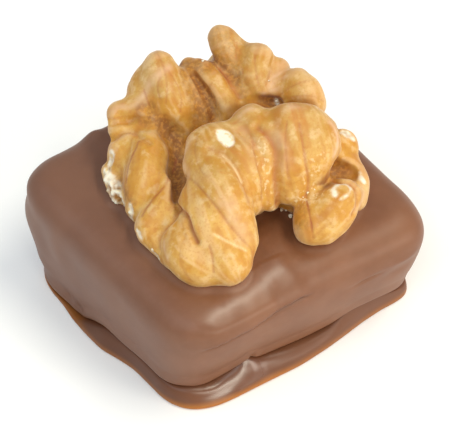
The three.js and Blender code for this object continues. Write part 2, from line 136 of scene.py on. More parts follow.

# Walnut half: each lobe is a fold of the kernel, as places along its middle with x, y, z and radius.
LOBES = {
    "left_peak": [(0.0, 10.3, 21.7, 1.4), (-0.4, 8.8, 20.9, 1.7), (-0.7, 7.1, 19.5, 1.9),
        (-0.6, 5.7, 17.8, 1.5)],
    "left_plate": [(-0.7, 10.1, 20.0, 1.6), (-1.3, 8.7, 18.8, 2.0), (-1.4, 7.8, 17.4, 1.7)],
    "left_shoulder": [(-1.1, 10.8, 20.0, 1.3), (-1.7, 10.7, 19.3, 1.5), (-2.2, 10.3, 18.2, 1.4)],
    "left_bulge": [(-4.7, 9.8, 17.5, 1.1), (-3.9, 8.7, 17.7, 1.3), (-3.0, 7.3, 16.6, 1.4)],
    "left_fill": [(-5.9, 9.2, 17.2, 0.9), (-5.2, 8.6, 17.4, 1.0), (-4.4, 7.7, 17.4, 1.1)],
    "left_join": [(-4.6, 8.6, 17.0, 1.3), (-4.3, 7.4, 17.0, 1.4), (-3.4, 5.7, 16.2, 1.4)],
    "left_upper": [(-5.7, 7.5, 16.4, 1.6), (-6.5, 6.8, 15.8, 1.6), (-7.0, 6.1, 14.8, 1.4)],
    "left_middle": [(-5.4, 4.8, 17.0, 1.8), (-7.0, 3.0, 16.2, 2.1), (-8.5, 1.6, 15.0, 1.7)],
    "left_lower": [(-6.3, 0.6, 16.3, 1.4), (-7.9, -0.8, 15.6, 1.7), (-9.6, -1.3, 14.8, 1.6),
        (-9.8, -2.9, 14.2, 1.2)],
    "left_skirt": [(-6.9, 7.2, 16.2, 1.3), (-6.6, 7.4, 14.8, 1.4), (-6.4, 7.2, 13.6, 1.4)],
    "broken_edge": [(-8.6, 7.3, 14.9, 0.6), (-8.9, 5.9, 14.7, 0.8), (-9.2, 4.4, 14.4, 1.0)],
    "valley": [(-0.7, 6.1, 15.6, 1.5), (-3.0, 3.7, 15.2, 1.5), (-4.8, 1.0, 15.0, 1.6),
        (-6.1, -1.6, 15.4, 1.6)],
    "middle_ridge": [(3.1, 9.5, 20.5, 0.9), (3.5, 7.7, 20.6, 1.3), (3.6, 5.8, 20.0, 1.4),
        (3.6, 4.4, 19.0, 1.4), (3.5, 3.8, 17.9, 1.1)],
    "right_peak": [(6.5, 9.1, 22.7, 1.2), (6.3, 7.9, 22.0, 1.4), (6.6, 6.5, 20.5, 1.6),
        (6.7, 5.0, 19.1, 1.5)],
    "right_saddle": [(7.1, 8.6, 22.1, 1.1), (7.7, 7.5, 21.4, 1.1), (8.3, 6.3, 21.1, 1.2)],
    "right_bulge": [(8.2, 5.4, 21.6, 1.6), (7.0, 4.5, 20.8, 1.5), (6.7, 3.9, 19.7, 1.3)],
    "right_fold": [(9.7, 4.1, 20.3, 1.2), (9.1, 3.4, 19.5, 1.2), (8.3, 3.2, 18.8, 1.0)],
    "right_end": [(10.2, 1.6, 20.3, 1.4), (10.3, 0.4, 19.8, 1.6), (10.3, -0.2, 18.6, 1.6)],
    "right_inner": [(9.7, 1.3, 20.0, 1.3), (9.4, 0.8, 19.2, 1.5), (9.5, 0.7, 18.1, 1.4)],
    "front_tip": [(-8.2, -4.8, 15.8, 1.6), (-8.9, -6.2, 15.0, 2.2), (-8.2, -7.5, 14.4, 2.4)],
    "front_low": [(-5.0, -3.5, 17.6, 2.2), (-6.1, -6.0, 16.6, 2.4), (-6.3, -8.9, 14.8, 2.5)],
    "front_high": [(-2.8, -1.2, 19.0, 2.3), (-3.7, -5.0, 18.6, 2.5), (-4.3, -8.0, 15.8, 2.0)],
    "front_shoulder": [(-1.9, 0.1, 19.9, 2.0), (-2.3, -1.2, 19.6, 2.1), (-2.6, -2.4, 19.2, 2.1)],
    "front_scar": [(-0.7, -0.3, 19.8, 2.1), (-0.7, -3.6, 19.4, 2.2), (-1.0, -5.3, 16.6, 1.6)],
    "front_narrow": [(3.2, -0.3, 20.4, 1.9), (2.2, -3.1, 19.4, 1.8), (1.0, -4.9, 16.4, 1.5)],
    "front_band": [(2.7, -2.6, 21.1, 0.8), (2.3, -4.0, 20.3, 0.9), (1.7, -5.1, 18.8, 0.9),
        (1.0, -6.1, 15.7, 0.8)],
    "front_wide": [(5.5, -2.9, 20.6, 2.2), (4.4, -5.0, 19.0, 2.2), (3.6, -6.3, 16.4, 1.7)],
    "front_right": [(7.2, -3.6, 20.2, 2.1), (6.5, -5.6, 18.8, 2.1), (5.1, -6.6, 16.6, 1.6)],
    "front_end": [(8.2, -4.5, 19.4, 1.8), (8.2, -5.4, 18.4, 1.5), (7.1, -5.9, 17.0, 1.3)],
    "front_crest": [(-0.8, 0.0, 19.5, 1.8), (1.3, -0.3, 19.8, 1.7), (3.6, -1.4, 20.0, 1.7),
        (5.8, -2.3, 20.2, 1.8)],
    "curl_top": [(10.9, -4.9, 17.0, 1.2), (10.9, -5.4, 16.4, 1.2), (10.2, -5.9, 15.6, 1.1)],
    "curl_rim": [(10.0, -7.0, 15.8, 1.2), (9.7, -8.7, 15.2, 1.1), (8.5, -9.9, 14.4, 1.1)],
    "curl_body": [(7.3, -9.7, 15.6, 1.6), (5.5, -10.2, 15.2, 2.2), (4.1, -10.3, 14.4, 2.1)],
    "curl_tip": [(4.3, -8.5, 15.4, 1.3), (3.3, -9.2, 14.8, 1.5), (2.7, -10.0, 14.2, 1.5)],
    "peak_slope": [(1.4, 8.5, 20.6, 0.9), (1.4, 6.9, 19.7, 1.1), (1.4, 5.6, 18.5, 1.1),
        (1.3, 5.1, 17.5, 1.0)],
    "rear_left": [(-2.6, 9.2, 18.6, 1.6), (-3.0, 9.8, 16.2, 1.8), (-3.4, 9.2, 13.8, 1.8)],
    "rear_peak": [(-0.4, 9.8, 20.6, 1.8), (-0.2, 10.6, 17.4, 2.0), (-0.4, 10.0, 13.8, 1.9)],
    "rear_middle": [(2.6, 8.8, 19.4, 1.6), (3.2, 9.8, 16.8, 2.0), (3.0, 9.4, 13.6, 1.9)],
    "rear_right": [(6.7, 8.2, 20.0, 1.5), (6.6, 9.2, 16.8, 2.0), (6.4, 9.2, 13.4, 2.0)],
    "rear_corner": [(8.2, 5.8, 20.0, 1.6), (9.4, 7.0, 16.8, 1.9), (9.4, 7.0, 13.4, 1.8)],
    "rear_end": [(9.0, 2.8, 19.0, 1.5), (10.4, 3.6, 16.2, 1.8), (10.4, 3.6, 13.2, 1.7)],
    "rear_tail": [(9.6, -0.2, 17.2, 1.4), (10.5, 0.5, 15.2, 1.8), (10.5, 0.4, 13.2, 1.8)],
    "front_body": [(-5.8, -5.2, 13.6, 2.8), (-1.8, -3.0, 16.0, 3.2), (3.8, -2.2, 16.8, 3.4),
        (7.4, -4.0, 15.8, 2.6)],
    "left_body": [(-7.4, 0.4, 13.2, 2.4), (-5.8, 4.2, 14.4, 2.8), (-2.4, 7.2, 17.2, 3.0)],
    "right_body": [(1.8, 6.0, 16.0, 3.0), (5.8, 5.4, 17.4, 3.2), (8.6, 1.6, 16.4, 3.0)],
    "middle_body": [(-2.8, 1.0, 13.2, 3.0), (1.0, 2.2, 14.2, 3.2), (5.0, 1.4, 14.6, 3.2)],
    "middle_core": [(0.6, 8.8, 16.6, 1.8), (1.0, 8.4, 17.8, 1.5), (1.4, 7.4, 18.0, 1.4)],
    "bay_wall": [(0.8, -4.1, 13.9, 1.1), (1.8, -3.8, 13.9, 1.1), (3.2, -4.6, 13.9, 1.1),
        (3.9, -6.2, 13.9, 1.1)],
    "curl_fill": [(9.7, -4.7, 16.6, 1.5), (9.0, -6.5, 15.8, 1.5), (7.6, -7.6, 15.4, 1.5)],
    "wing_fill": [(-7.9, -3.0, 15.4, 1.2), (-9.0, -4.0, 14.8, 1.3), (-9.6, -4.6, 13.8, 1.2)],
    "curl_core": [(9.8, -4.4, 14.0, 1.8), (8.4, -7.6, 13.6, 2.0), (5.2, -9.0, 13.4, 2.0)],
    "rear_core": [(-1.2, 7.4, 13.2, 2.2), (3.0, 7.3, 13.9, 2.5), (6.6, 6.4, 13.4, 2.6),
        (8.2, 3.4, 13.2, 2.3)],
    "left_core": [(-6.2, -1.8, 13.4, 1.8), (-7.5, -2.8, 14.0, 1.6), (-8.2, -3.5, 13.8, 1.4)],
    "left_ear": [(-4.8, 10.3, 18.1, 1.2), (-3.9, 9.7, 18.3, 1.2), (-2.8, 9.4, 18.2, 1.1)],
}
FOLD_BLEND = 0.8

# Hollows between the lobes, in the same form.
HOLLOWS = {
    "peak_valley": [(2.2, 7.6, 21.1, 0.2), (2.2, 6.0, 20.5, 0.3), (2.0, 4.6, 19.6, 0.4),
        (1.9, 3.6, 18.8, 0.4)],
    "left_arm": [(-3.5, 7.7, 20.1, 0.4), (-3.5, 6.1, 20.0, 0.9), (-3.0, 4.9, 19.1, 1.1),
        (-2.7, 3.9, 18.1, 1.0)],
    "stem": [(-2.5, 4.0, 18.3, 1.0), (-3.0, 3.3, 17.4, 0.9), (-3.9, 2.2, 16.9, 0.8),
        (-5.4, 0.4, 16.9, 0.6), (-6.7, -1.4, 16.9, 0.4)],
    "wing_hollow": [(-5.6, 9.1, 18.9, 0.5), (-5.2, 8.2, 18.9, 0.7), (-4.7, 7.0, 19.3, 0.8),
        (-4.0, 6.1, 19.7, 0.7)],
    "dark_pit": [(5.6, 2.5, 19.9, 0.3), (6.5, 2.2, 19.4, 0.5), (7.2, 1.8, 19.1, 0.6),
        (7.7, 1.3, 19.1, 0.5)],
    "curl_hollow": [(7.6, -6.9, 17.1, 0.7), (8.2, -7.4, 16.6, 1.0), (9.1, -8.2, 16.4, 0.8)],
}
HOLLOW_BLEND = 0.6
REAR = (0.41, 0.545, -0.73)  # the way that the kernel's wrinkled rear faces

# Creases between the folds: depth, width and brownness (veins and painted shade), then places on the
# surface.
CREASES = {
    "tip_fold": (0.3, 0.28, 0.8, [(-7.0, -2.4, 17.0), (-7.7, -4.4, 18.1), (-8.1, -5.5, 17.9),
        (-8.3, -6.5, 17.5), (-8.5, -7.2, 17.3)]),
    "tip_side": (0.2, 0.35, 0.4, [(-7.2, -2.6, 16.8), (-8.5, -3.3, 16.7), (-9.3, -3.2, 16.2),
        (-10.1, -3.4, 15.6), (-10.6, -4.0, 15.0)]),
    "long_vein": (0.05, 0.2, 0.5, [(-5.1, -0.9, 18.9), (-5.6, -3.1, 20.0), (-5.7, -4.6, 20.1),
        (-5.7, -5.7, 19.9), (-5.6, -7.0, 19.3), (-5.4, -8.2, 18.4), (-4.9, -9.5, 17.2),
        (-4.4, -10.3, 15.9)]),
    "scar_line": (0.15, 0.5, 0.35, [(-2.7, -1.6, 21.7), (-2.2, -2.9, 21.6), (-2.1, -4.2, 21.2),
        (-2.1, -5.2, 20.8), (-2.1, -6.3, 20.0), (-2.4, -7.3, 19.2)]),
    "narrow_line": (0.06, 0.2, 0.45, [(1.2, -3.0, 21.3), (0.2, -4.8, 20.9), (0.0, -6.0, 19.6),
        (-0.4, -6.6, 17.3)]),
    "deep_groove": (0.4, 0.42, 0.6, [(2.4, -2.3, 22.0), (2.6, -3.2, 21.8), (2.7, -3.9, 21.5),
        (2.6, -4.7, 21.0), (2.2, -5.4, 20.2), (1.7, -6.0, 19.0), (1.5, -6.5, 17.4), (1.4, -6.8, 15.9)]),
    "wide_vein": (0.12, 0.25, 0.6, [(5.7, -4.5, 22.2), (5.1, -5.7, 21.4), (4.7, -6.5, 20.6),
        (4.4, -7.2, 19.6), (4.3, -7.7, 18.3), (4.1, -8.0, 17.3), (3.6, -8.3, 16.7)]),
    "curl_vein": (0.08, 0.14, 1.0, [(3.4, -8.7, 16.5), (3.1, -9.3, 16.4), (2.7, -10.1, 16.1),
        (2.3, -10.9, 15.6), (2.1, -11.4, 14.6)]),
    "curl_rim": (0.2, 0.28, 0.5, [(6.9, -8.2, 16.8), (7.2, -9.1, 17.1), (7.7, -9.8, 17.1),
        (7.9, -10.6, 16.8), (7.4, -11.3, 16.3), (6.7, -11.9, 16.0), (6.2, -12.2, 15.9)]),
    "wing_vein": (0.02, 0.18, 0.9, [(-5.8, 5.6, 18.6), (-6.6, 5.1, 18.3), (-7.3, 4.8, 18.0),
        (-8.0, 4.4, 17.6), (-8.6, 3.8, 17.2), (-9.1, 3.4, 16.8)]),
    "branch_vein": (0.02, 0.2, 0.8, [(-3.2, 3.3, 16.4), (-4.1, 2.5, 16.2), (-6.1, 0.6, 17.7),
        (-7.4, 0.0, 17.5), (-8.3, -0.1, 17.1), (-9.2, -0.3, 16.7), (-10.1, -0.7, 16.3)]),
    "wing_fold": (0.25, 0.3, 0.3, [(-7.0, 8.4, 17.3), (-6.6, 8.2, 17.7), (-5.9, 7.9, 18.2),
        (-5.4, 7.2, 18.4), (-5.5, 6.1, 18.6), (-5.3, 4.7, 18.8)]),
    "ear_fold": (0.2, 0.3, 0.3, [(-6.1, 9.6, 18.2), (-5.6, 9.1, 18.2), (-5.0, 8.7, 18.3),
        (-4.4, 8.3, 18.8)]),
    "peak_line": (0.02, 0.16, 0.5, [(-2.6, 9.3, 20.7), (-2.9, 8.3, 20.3), (-3.0, 7.7, 19.9)]),
    "peak_vein": (0.02, 0.16, 0.4, [(-1.3, 8.4, 22.3), (-1.9, 8.0, 21.6), (-2.2, 7.3, 21.0)]),
    "low_vein": (0.04, 0.18, 0.5, [(-7.9, -8.4, 17.3), (-8.2, -9.2, 16.6), (-8.6, -9.9, 15.5)]),
    "peak_side": (0.03, 0.14, 0.40, [(0.0, 10.4, 23.1), (-0.5, 8.8, 22.7), (-1.2, 7.4, 21.9),
        (-2.0, 6.5, 20.8)]),
    "peak_edge": (0.03, 0.14, 0.40, [(-0.3, 8.6, 22.7), (-0.2, 7.2, 21.9), (-0.5, 6.0, 21.1),
        (-1.2, 5.3, 20.1)]),
    "right_line": (0.03, 0.14, 0.40, [(7.2, 7.3, 23.0), (6.2, 6.1, 22.4), (5.9, 4.7, 21.8),
        (5.6, 3.7, 20.9)]),
    "right_edge": (0.03, 0.14, 0.35, [(8.3, 5.8, 23.1), (7.2, 4.5, 22.7), (6.6, 3.4, 21.7),
        (6.5, 2.9, 20.7)]),
    "fold_line": (0.03, 0.14, 0.40, [(11.5, 0.2, 20.8), (10.0, 0.3, 21.5), (8.9, 0.8, 21.1),
        (7.9, 1.6, 19.7)]),
    "fold_edge": (0.03, 0.14, 0.35, [(11.0, -1.4, 19.6), (9.8, -0.9, 20.6), (8.8, -0.2, 20.6),
        (8.0, 0.9, 19.8)]),
    "shoulder_line": (0.03, 0.14, 0.35, [(-2.7, 0.6, 21.7), (-3.9, -0.7, 21.2), (-4.7, -2.6, 20.9),
        (-4.7, -4.9, 20.9)]),
    "wide_line": (0.03, 0.14, 0.40, [(4.8, -3.7, 22.5), (3.7, -4.9, 21.5), (2.9, -6.2, 20.0),
        (2.5, -7.0, 17.8)]),
    "tip_line": (0.03, 0.14, 0.35, [(-8.8, -5.9, 17.3), (-10.2, -6.8, 16.6), (-10.6, -7.8, 15.4),
        (-10.3, -8.7, 14.3)]),
    "ridge_valley": (0.15, 0.3, 0.6, [(4.6, 6.7, 21.4), (4.7, 5.6, 21.0), (4.6, 4.4, 20.5),
        (4.6, 3.5, 19.9)]),
}

# Pale cracks in the skin: depth and width, then places on the surface.
CRACKS = {
    "scar": (0.1, 0.12, [(-2.2, -2.9, 21.6), (-2.1, -4.2, 21.2), (-2.1, -5.2, 20.8), (-2.1, -5.9, 20.3)]),
    "tip_crack": (0.05, 0.13, [(-7.1, -8.0, 18.1), (-6.3, -9.2, 17.6), (-5.1, -10.3, 16.5)]),
}

# Places where the skin is gone and the white flesh shows: how crumbly it is, then a path with radius.
BREAKS = {
    "oval": (0.0, [(-0.9, -0.6, 22.0, 0.35), (-0.8, -1.3, 21.9, 0.70), (-1.0, -2.2, 21.9, 0.55)]),
    "left_edge": (0.6, [(-8.0, 7.3, 17.0, 0.30), (-8.3, 7.0, 16.5, 0.30), (-8.5, 7.1, 15.8, 0.22)]),
    "left_corner": (0.8, [(-8.8, 6.9, 15.5, 0.40), (-9.2, 6.1, 15.4, 0.55), (-9.4, 5.4, 15.2, 0.55)]),
    "left_crumbs": (1.0, [(-9.5, 5.1, 15.0, 0.70), (-9.7, 4.5, 14.8, 0.85), (-9.8, 3.9, 14.6, 0.80),
        (-9.6, 3.5, 14.5, 0.60)]),
    "wing_edge": (0.4, [(-10.0, 1.6, 15.7, 0.20), (-10.2, 1.3, 15.2, 0.28), (-10.0, 1.4, 14.2, 0.18)]),
    "wing_foot": (0.4, [(-11.1, -1.1, 15.2, 0.20), (-11.2, -1.5, 15.2, 0.30), (-11.2, -1.9, 15.0, 0.18)]),
    "tip_edge": (0.6, [(-10.9, -3.3, 14.3, 0.20), (-10.9, -3.5, 14.1, 0.15), (-10.8, -3.9, 13.9, 0.20),
        (-10.8, -4.2, 13.8, 0.15)]),
    "curl_ring": (0.2, [(5.5, -10.3, 17.4, 0.25), (6.0, -9.6, 17.4, 0.26), (6.8, -9.3, 17.2, 0.18),
        (7.4, -9.7, 17.2, 0.14), (7.3, -10.4, 17.1, 0.12), (6.6, -10.9, 17.2, 0.10),
        (5.7, -11.0, 17.2, 0.10)]),
    "curl_back": (0.5, [(11.0, -4.9, 18.2, 0.35), (11.2, -5.4, 18.0, 0.40), (11.5, -5.8, 17.6, 0.30)]),
    "curl_flake": (0.3, [(9.8, -8.6, 16.4, 0.25), (9.7, -9.1, 16.2, 0.30), (9.7, -9.6, 15.9, 0.20)]),
    "pit_flake": (0.3, [(7.9, 1.9, 19.0, 0.16), (7.9, 1.7, 18.7, 0.16)]),
}

# Pale bands, partly membrane and partly painted sheen: width and strength, then places on the surface.
PALE_BANDS_AND_SHEEN = {
    "peak_band": (0.45, 0.7, [(0.1, 8.8, 22.7), (-1.1, 8.7, 22.5), (-1.8, 8.9, 21.9), (-2.4, 9.1, 21.0),
        (-3.0, 9.0, 20.3), (-3.7, 8.9, 19.9)]),
    "ear_crest": (0.35, 0.6, [(-5.7, 10.2, 18.9), (-5.0, 10.1, 19.3), (-4.4, 9.4, 19.5),
        (-3.7, 8.8, 19.9)]),
    "wing_crest": (0.3, 0.5, [(-7.8, 7.8, 17.0), (-7.2, 7.9, 17.4), (-6.5, 7.7, 17.8),
        (-5.9, 7.3, 18.2)]),
    "front_limb": (0.5, 0.6, [(-3.3, 0.9, 21.1), (-3.9, 0.8, 20.4), (-4.4, 0.4, 19.8), (-4.9, -0.5, 19.5),
        (-5.2, -1.4, 19.5)]),
    "fold_face": (0.8, 0.45, [(9.9, 3.4, 21.2), (8.9, 3.1, 20.9), (8.0, 2.8, 20.4), (7.4, 2.3, 20.0)]),
    "fold_streak": (0.25, 0.8, [(10.1, 2.8, 21.1), (9.4, 3.0, 21.0), (8.5, 3.1, 20.8), (8.0, 3.2, 20.6)]),
    "middle_streak": (0.25, 0.7, [(9.2, 2.1, 21.3), (8.7, 2.6, 20.8), (8.0, 2.8, 20.4)]),
    "pit_streak": (0.3, 0.7, [(8.2, 1.9, 20.3), (7.5, 2.3, 20.1), (6.8, 2.5, 20.0)]),
    "right_rim": (0.3, 0.8, [(8.8, -5.3, 21.1), (9.0, -5.8, 20.4), (8.8, -6.3, 19.8), (8.3, -6.9, 19.3),
        (7.5, -7.4, 19.1)]),
    "curl_outer": (0.35, 0.6, [(9.4, -9.5, 16.0), (9.0, -10.4, 15.7), (8.2, -11.1, 15.4),
        (6.9, -11.9, 15.8)]),
    "tip_limb": (0.3, 0.6, [(-10.2, -4.4, 16.0), (-10.7, -5.0, 15.7), (-11.0, -5.9, 15.4)]),
    "front_pale": (0.9, 0.55, [(-4.8, -6.8, 20.1), (-4.8, -7.7, 19.2), (-4.7, -8.6, 18.2),
        (-4.8, -9.2, 17.5)]),
    "narrow_pale": (0.8, 0.4, [(3.3, -3.9, 21.5), (3.1, -4.8, 21.1), (2.9, -5.6, 20.5),
        (2.7, -6.2, 19.7)]),
    "middle_pale": (0.8, 0.3, [(1.4, -1.2, 21.6), (1.1, -2.3, 21.3), (0.4, -3.8, 21.4),
        (0.0, -5.0, 20.9)]),
    "wide_crest": (0.4, 0.5, [(5.4, -2.5, 22.8), (6.5, -2.8, 22.6), (7.2, -3.2, 22.4)]),
    "narrow_crest": (0.35, 0.5, [(2.0, 0.0, 21.9), (2.7, 0.0, 22.2), (3.3, -0.2, 22.3)]),
}

# Brown skin, partly its own colour and partly painted shade: how brown, then paths with x, y, z and
# radius.
BROWN_AND_SHADE_PLACES = {
    "left_arm": (0.85, [(-3.2, 8.7, 19.4, 0.5), (-2.8, 7.0, 19.0, 0.9), (-2.4, 5.7, 18.0, 1.0),
        (-2.2, 4.7, 17.1, 0.9)]),
    "stem": (0.85, [(-2.2, 4.7, 17.1, 0.8), (-3.4, 3.1, 16.2, 0.9), (-4.9, 0.8, 16.2, 0.7),
        (-6.2, -1.0, 16.3, 0.5)]),
    "peak_valley": (0.9, [(2.6, 7.8, 20.8, 0.4), (2.3, 6.2, 20.3, 0.5), (2.1, 4.8, 19.3, 0.6),
        (1.7, 4.1, 18.5, 0.6)]),
    "peak_slope": (0.65, [(1.5, 8.0, 21.3, 0.4), (1.3, 6.3, 20.5, 0.8), (1.1, 5.0, 19.2, 0.9),
        (-0.2, 4.7, 17.9, 0.6)]),
    "ridge_top": (0.6, [(2.3, 9.4, 21.0, 0.7), (2.8, 8.5, 21.4, 0.9), (3.4, 7.5, 21.6, 0.6)]),
    "right_peak": (0.3, [(6.2, 8.5, 23.5, 1.3), (5.8, 6.9, 22.6, 1.4), (5.7, 5.8, 21.2, 1.0)]),
    "right_foot": (0.75, [(4.9, 7.3, 21.9, 0.6), (5.1, 6.4, 21.6, 0.7), (5.5, 4.9, 20.7, 0.6),
        (5.7, 3.9, 19.5, 0.6)]),
    "dark_pit": (0.7, [(6.1, 2.9, 19.1, 0.4), (7.2, 2.4, 18.6, 0.7), (8.0, 1.8, 18.6, 0.6)]),
    "curl": (0.75, [(7.9, -6.5, 16.8, 0.5), (8.2, -6.9, 16.2, 0.8), (8.8, -7.3, 15.9, 0.6)]),
    "slit": (0.9, [(-4.1, 1.3, 16.2, 0.3), (-5.2, 0.0, 16.5, 0.3), (-6.2, -0.9, 16.4, 0.3)]),
    "break_shade": (0.7, [(-8.5, 5.1, 15.6, 0.2), (-9.2, 3.6, 15.9, 0.3), (-9.7, 2.5, 16.1, 0.3),
        (-9.9, 1.9, 15.9, 0.3)]),
    "curl_spot": (0.5, [(4.4, -9.0, 17.0, 0.3), (4.5, -9.3, 16.9, 0.3)]),
    "curl_side": (0.4, [(2.7, -8.7, 16.1, 0.6), (1.9, -9.7, 15.4, 0.7)]),
}

# Places where the skin is specked with cream, as paths with x, y, z and radius.
SPECKLED = {
    "narrow": [(1.4, -4.0, 21.0, 1.0), (0.5, -5.6, 19.7, 1.0), (0.5, -6.3, 17.6, 1.0),
        (0.6, -6.8, 16.0, 1.0)],
    "wide": [(5.7, -7.3, 19.8, 0.8), (4.7, -7.7, 18.5, 0.8), (3.9, -7.9, 17.2, 0.8),
        (2.9, -7.9, 16.3, 0.8)],
    "curl": [(3.1, -8.0, 16.6, 0.6), (4.2, -9.2, 16.9, 0.6), (5.9, -9.7, 17.4, 0.6)],
}

# Loose crumbs of the kernel: x, y, z and radius.
CRUMBS = [
    (3.4, -8.1, 16.6, 0.10), (3.9, -8.2, 16.9, 0.12), (4.6, -8.3, 17.0, 0.10),
    (2.6, -5.9, 13.5, 0.17), (2.9, -6.2, 13.5, 0.12), (2.7, -7.1, 13.6, 0.20), (7.9, 1.8, 18.9, 0.14),
    (3.7, 8.2, 21.8, 0.10), (7.8, 3.1, 20.7, 0.12), (-10.9, -3.4, 14.4, 0.14),
]

# Relief and marks of the kernel's skin.
BANK = 0.25  # height of the banks beside a crease, as a share of its depth
VEIN_WIDTH = 0.7  # width of a crease's brown line, as a share of its own
CRACK_PALE = 0.7
BAND_RISE = 0.03
GRAIN_RISE = 0.03
WRINKLE_WIDTH = 0.09
WRINKLE_DEPTH = 0.2
WRINKLE_BROWN = 0.45
BREAK_DEPTH = 0.05
CRUMB_RISE = 0.34
HOLLOW_REACH = 0.8  # how far out of the surface other folds make a place count as sunken, for its brown and painted shade
DEEP_REACH = 1.5
CREST_SHARES = (60, 97)  # percent of the surface below a crest's foot and below its top, between which its painted sheen rises
SHADED_UPPER_HEIGHTS = (19.0, 22.0)  # heights between which the skin turns darker, as painted shade on the brightly lit higher lobes

# Streaks along the lobes: length and width of each kind, and how far beyond a lobe they are worked out.
GRAIN_SIZES = [(3.4, 0.9), (2.2, 0.35)]
GRAIN_REACH = 0.6
GRAIN_SEED = 21
GRAIN_STRENGTH = 0.6

# Unevenness of the surfaces: height of the bumps, how far apart they are, and the seed.
BUMPS = {
    "kernel": (0.09, 2.3, 1), "kernel_small": (0.05, 1.1, 2), "kernel_fine": (0.02, 0.5, 3),
    "ragged": (0.22, 0.7, 5), "ragged_fine": (0.1, 0.3, 6),
    "crumbly": (1.0, 0.5, 7), "crumbly_fine": (0.6, 0.3, 8),
    "band": (0.5, 0.6, 9), "brown": (0.03, 0.4, 10), "rear": (0.25, 2.8, 15), "wrinkle": (1.0, 2.4, 16),
    "slab": (0.1, 6.0, 11), "slab_fine": (0.04, 2.2, 12), "wall": (0.1, 3.0, 13), "fold": (0.15, 1.5, 14),
    "crumb_pit": (1.0, 0.3, 32),
}
CRUMB_LUMPS = (0.6, 0.9, 31)  # the same for the crumbs, as shares of their radius

# Mesh fineness.
LAP_STEPS = 480
PROFILE_STEPS = 6
WALL_KNOTS = 10
EDGE_KNOTS = 5
TOP_RINGS = 52
SOLE_RINGS = 3
SEAM_KNOT = 6  # which of the wall profile's knots is the seam
EDGE_START = 100  # the ring where the wall starts to be smoothed into the top
EDGE_SMOOTHING = 30
CORNER_STEPS = 60
NUT_CELL = 0.17
NUT_MARGIN = 1.6
NUT_SMOOTHING = 2
CREST_SMOOTHING = 24
WIDE_CELL = 0.4  # of the coarse field, which reaches further round the kernel
WIDE_MARGIN = 6.0
CRUMB_STEPS = 6
LOBE_STEPS = 8
BREAK_STEPS = 32
LINE_STEPS = 60
NOISE_SIZE = 32
LINE_REACH = 4  # how far a line is felt, in widths

# Soft lights that face the praline: place and sides in metres, power and colour.
LIGHTS = {
    "key": ((0.42, -0.72, 0.27), (0.3, 0.3), 1.8, (1.0, 0.91, 0.79)),
    "top": ((0.257, -0.226, 0.70), (0.64, 0.09), 2.7, (1.0, 0.95, 0.78)),
    "front": ((0.0, -0.78, 0.375), (0.46, 0.07), 1.8, (1.0, 0.95, 0.8)),
    "left": ((-0.52, -0.3, 0.7), (0.7, 0.7), 3.0, (0.78, 0.92, 1.0)),
    "rear": ((-0.36, 0.33, 0.56), (0.4, 0.4), 0.42, (0.8, 0.92, 1.0)),
}
LIGHT_AIM = (0, 0, 0.01)
WORLD_STRENGTH = 0.55
FLOOR_REACH = 2.5  # from the floor's middle to its sides, in metres

# Camera: how far it stands round towards -X, its rise, its distance and the place that it looks at.
VIEW_TURN = math.radians(37)
VIEW_RISE = math.radians(47)
VIEW_DISTANCE = 320
VIEW_TARGET = (2.895, 3.56, 4.276)
VIEW_LENS = 256
VIEW_NEAR = 0.01  # the nearest that the camera sees, in metres


# Curves and noise

def curve_through(places, steps):
    """Points along a smooth curve through the places, with any further columns carried along."""
    rows = np.asarray(places, float)
    rows = np.vstack([2 * rows[0] - rows[1], rows, 2 * rows[-1] - rows[-2]])
    stretches = len(places) - 1
    along = np.linspace(0, stretches, steps + 1)
    first = np.minimum(along.astype(int), stretches - 1)
    share = (along - first)[:, None]
    before, start, end, after = (rows[first + i] for i in range(4))
    bend = 2 * before - 5 * start + 4 * end - after
    twist = 3 * (start - end) + after - before
    return start + 0.5 * share * (end - before + share * (bend + share * twist))


def round_the_lap(knots):
    """Values at each lap step, eased between knots that are given as a share of the lap and a value."""
    shares, values = np.transpose(knots)
    lap = np.interp(np.arange(LAP_STEPS) / LAP_STEPS, shares, values, period=1)
    for _ in range(3):
        lap = sum(np.roll(lap, shift) for shift in range(-2, 3)) / 5
    return lap


def grid_value(grid, low, share):
    """The grid's values between its points, from the eight round each place. The grid repeats itself."""
    total = np.zeros(len(low))
    for corner in np.ndindex(2, 2, 2):
        weight = np.prod(np.where(corner, share, 1 - share), axis=1)
        total += weight * grid[tuple(((low + corner) % grid.shape).T)]
    return total


def soft_noise(points, wavelength, seed):
    """Soft bumps between -1 and 1, about a wavelength apart."""
    grid = np.random.default_rng(seed).uniform(-1, 1, (NOISE_SIZE, NOISE_SIZE, NOISE_SIZE))
    place = points / wavelength
    low = np.floor(place).astype(int)
    return grid_value(grid, low, ease(0, 1, place - low))


def uneven(points, kind):
    """Soft bumps of one of the named kinds."""
    height, wavelength, seed = BUMPS[kind]
    return height * soft_noise(points, wavelength, seed)


def unit(vectors):
    return vectors / np.linalg.norm(vectors, axis=-1, keepdims=True)


def path_box(path, margin):
    """Lowest and highest corner of the box round a tapering path, with a margin."""
    return (path[:, :3] - path[:, 3:]).min(0) - margin, (path[:, :3] + path[:, 3:]).max(0) + margin


def line_distance(points, places, reach):
    """Distance of each point to the curve through the places, or the reach where that is less."""
    line = curve_through(places, LINE_STEPS)
    near = np.all((points > line.min(0) - reach) & (points < line.max(0) + reach), axis=1)
    distance = np.full(len(points), float(reach))
    gaps = np.linalg.norm(points[near][:, None] - line[None], axis=2)
    distance[near] = np.minimum(gaps.min(axis=1), reach)
    return distance


def bell(distance, width):
    return np.exp(-((distance / width) ** 2))


def ease(low, high, value):
    """0 below low and 1 above high, with a smooth rise between."""
    share = np.clip((value - low) / (high - low), 0, 1)
    return share * share * (3 - 2 * share)


def fade(low, high, value):
    """1 below low and 0 above high, with a smooth fall between."""
    return 1 - ease(low, high, value)


# Meshes

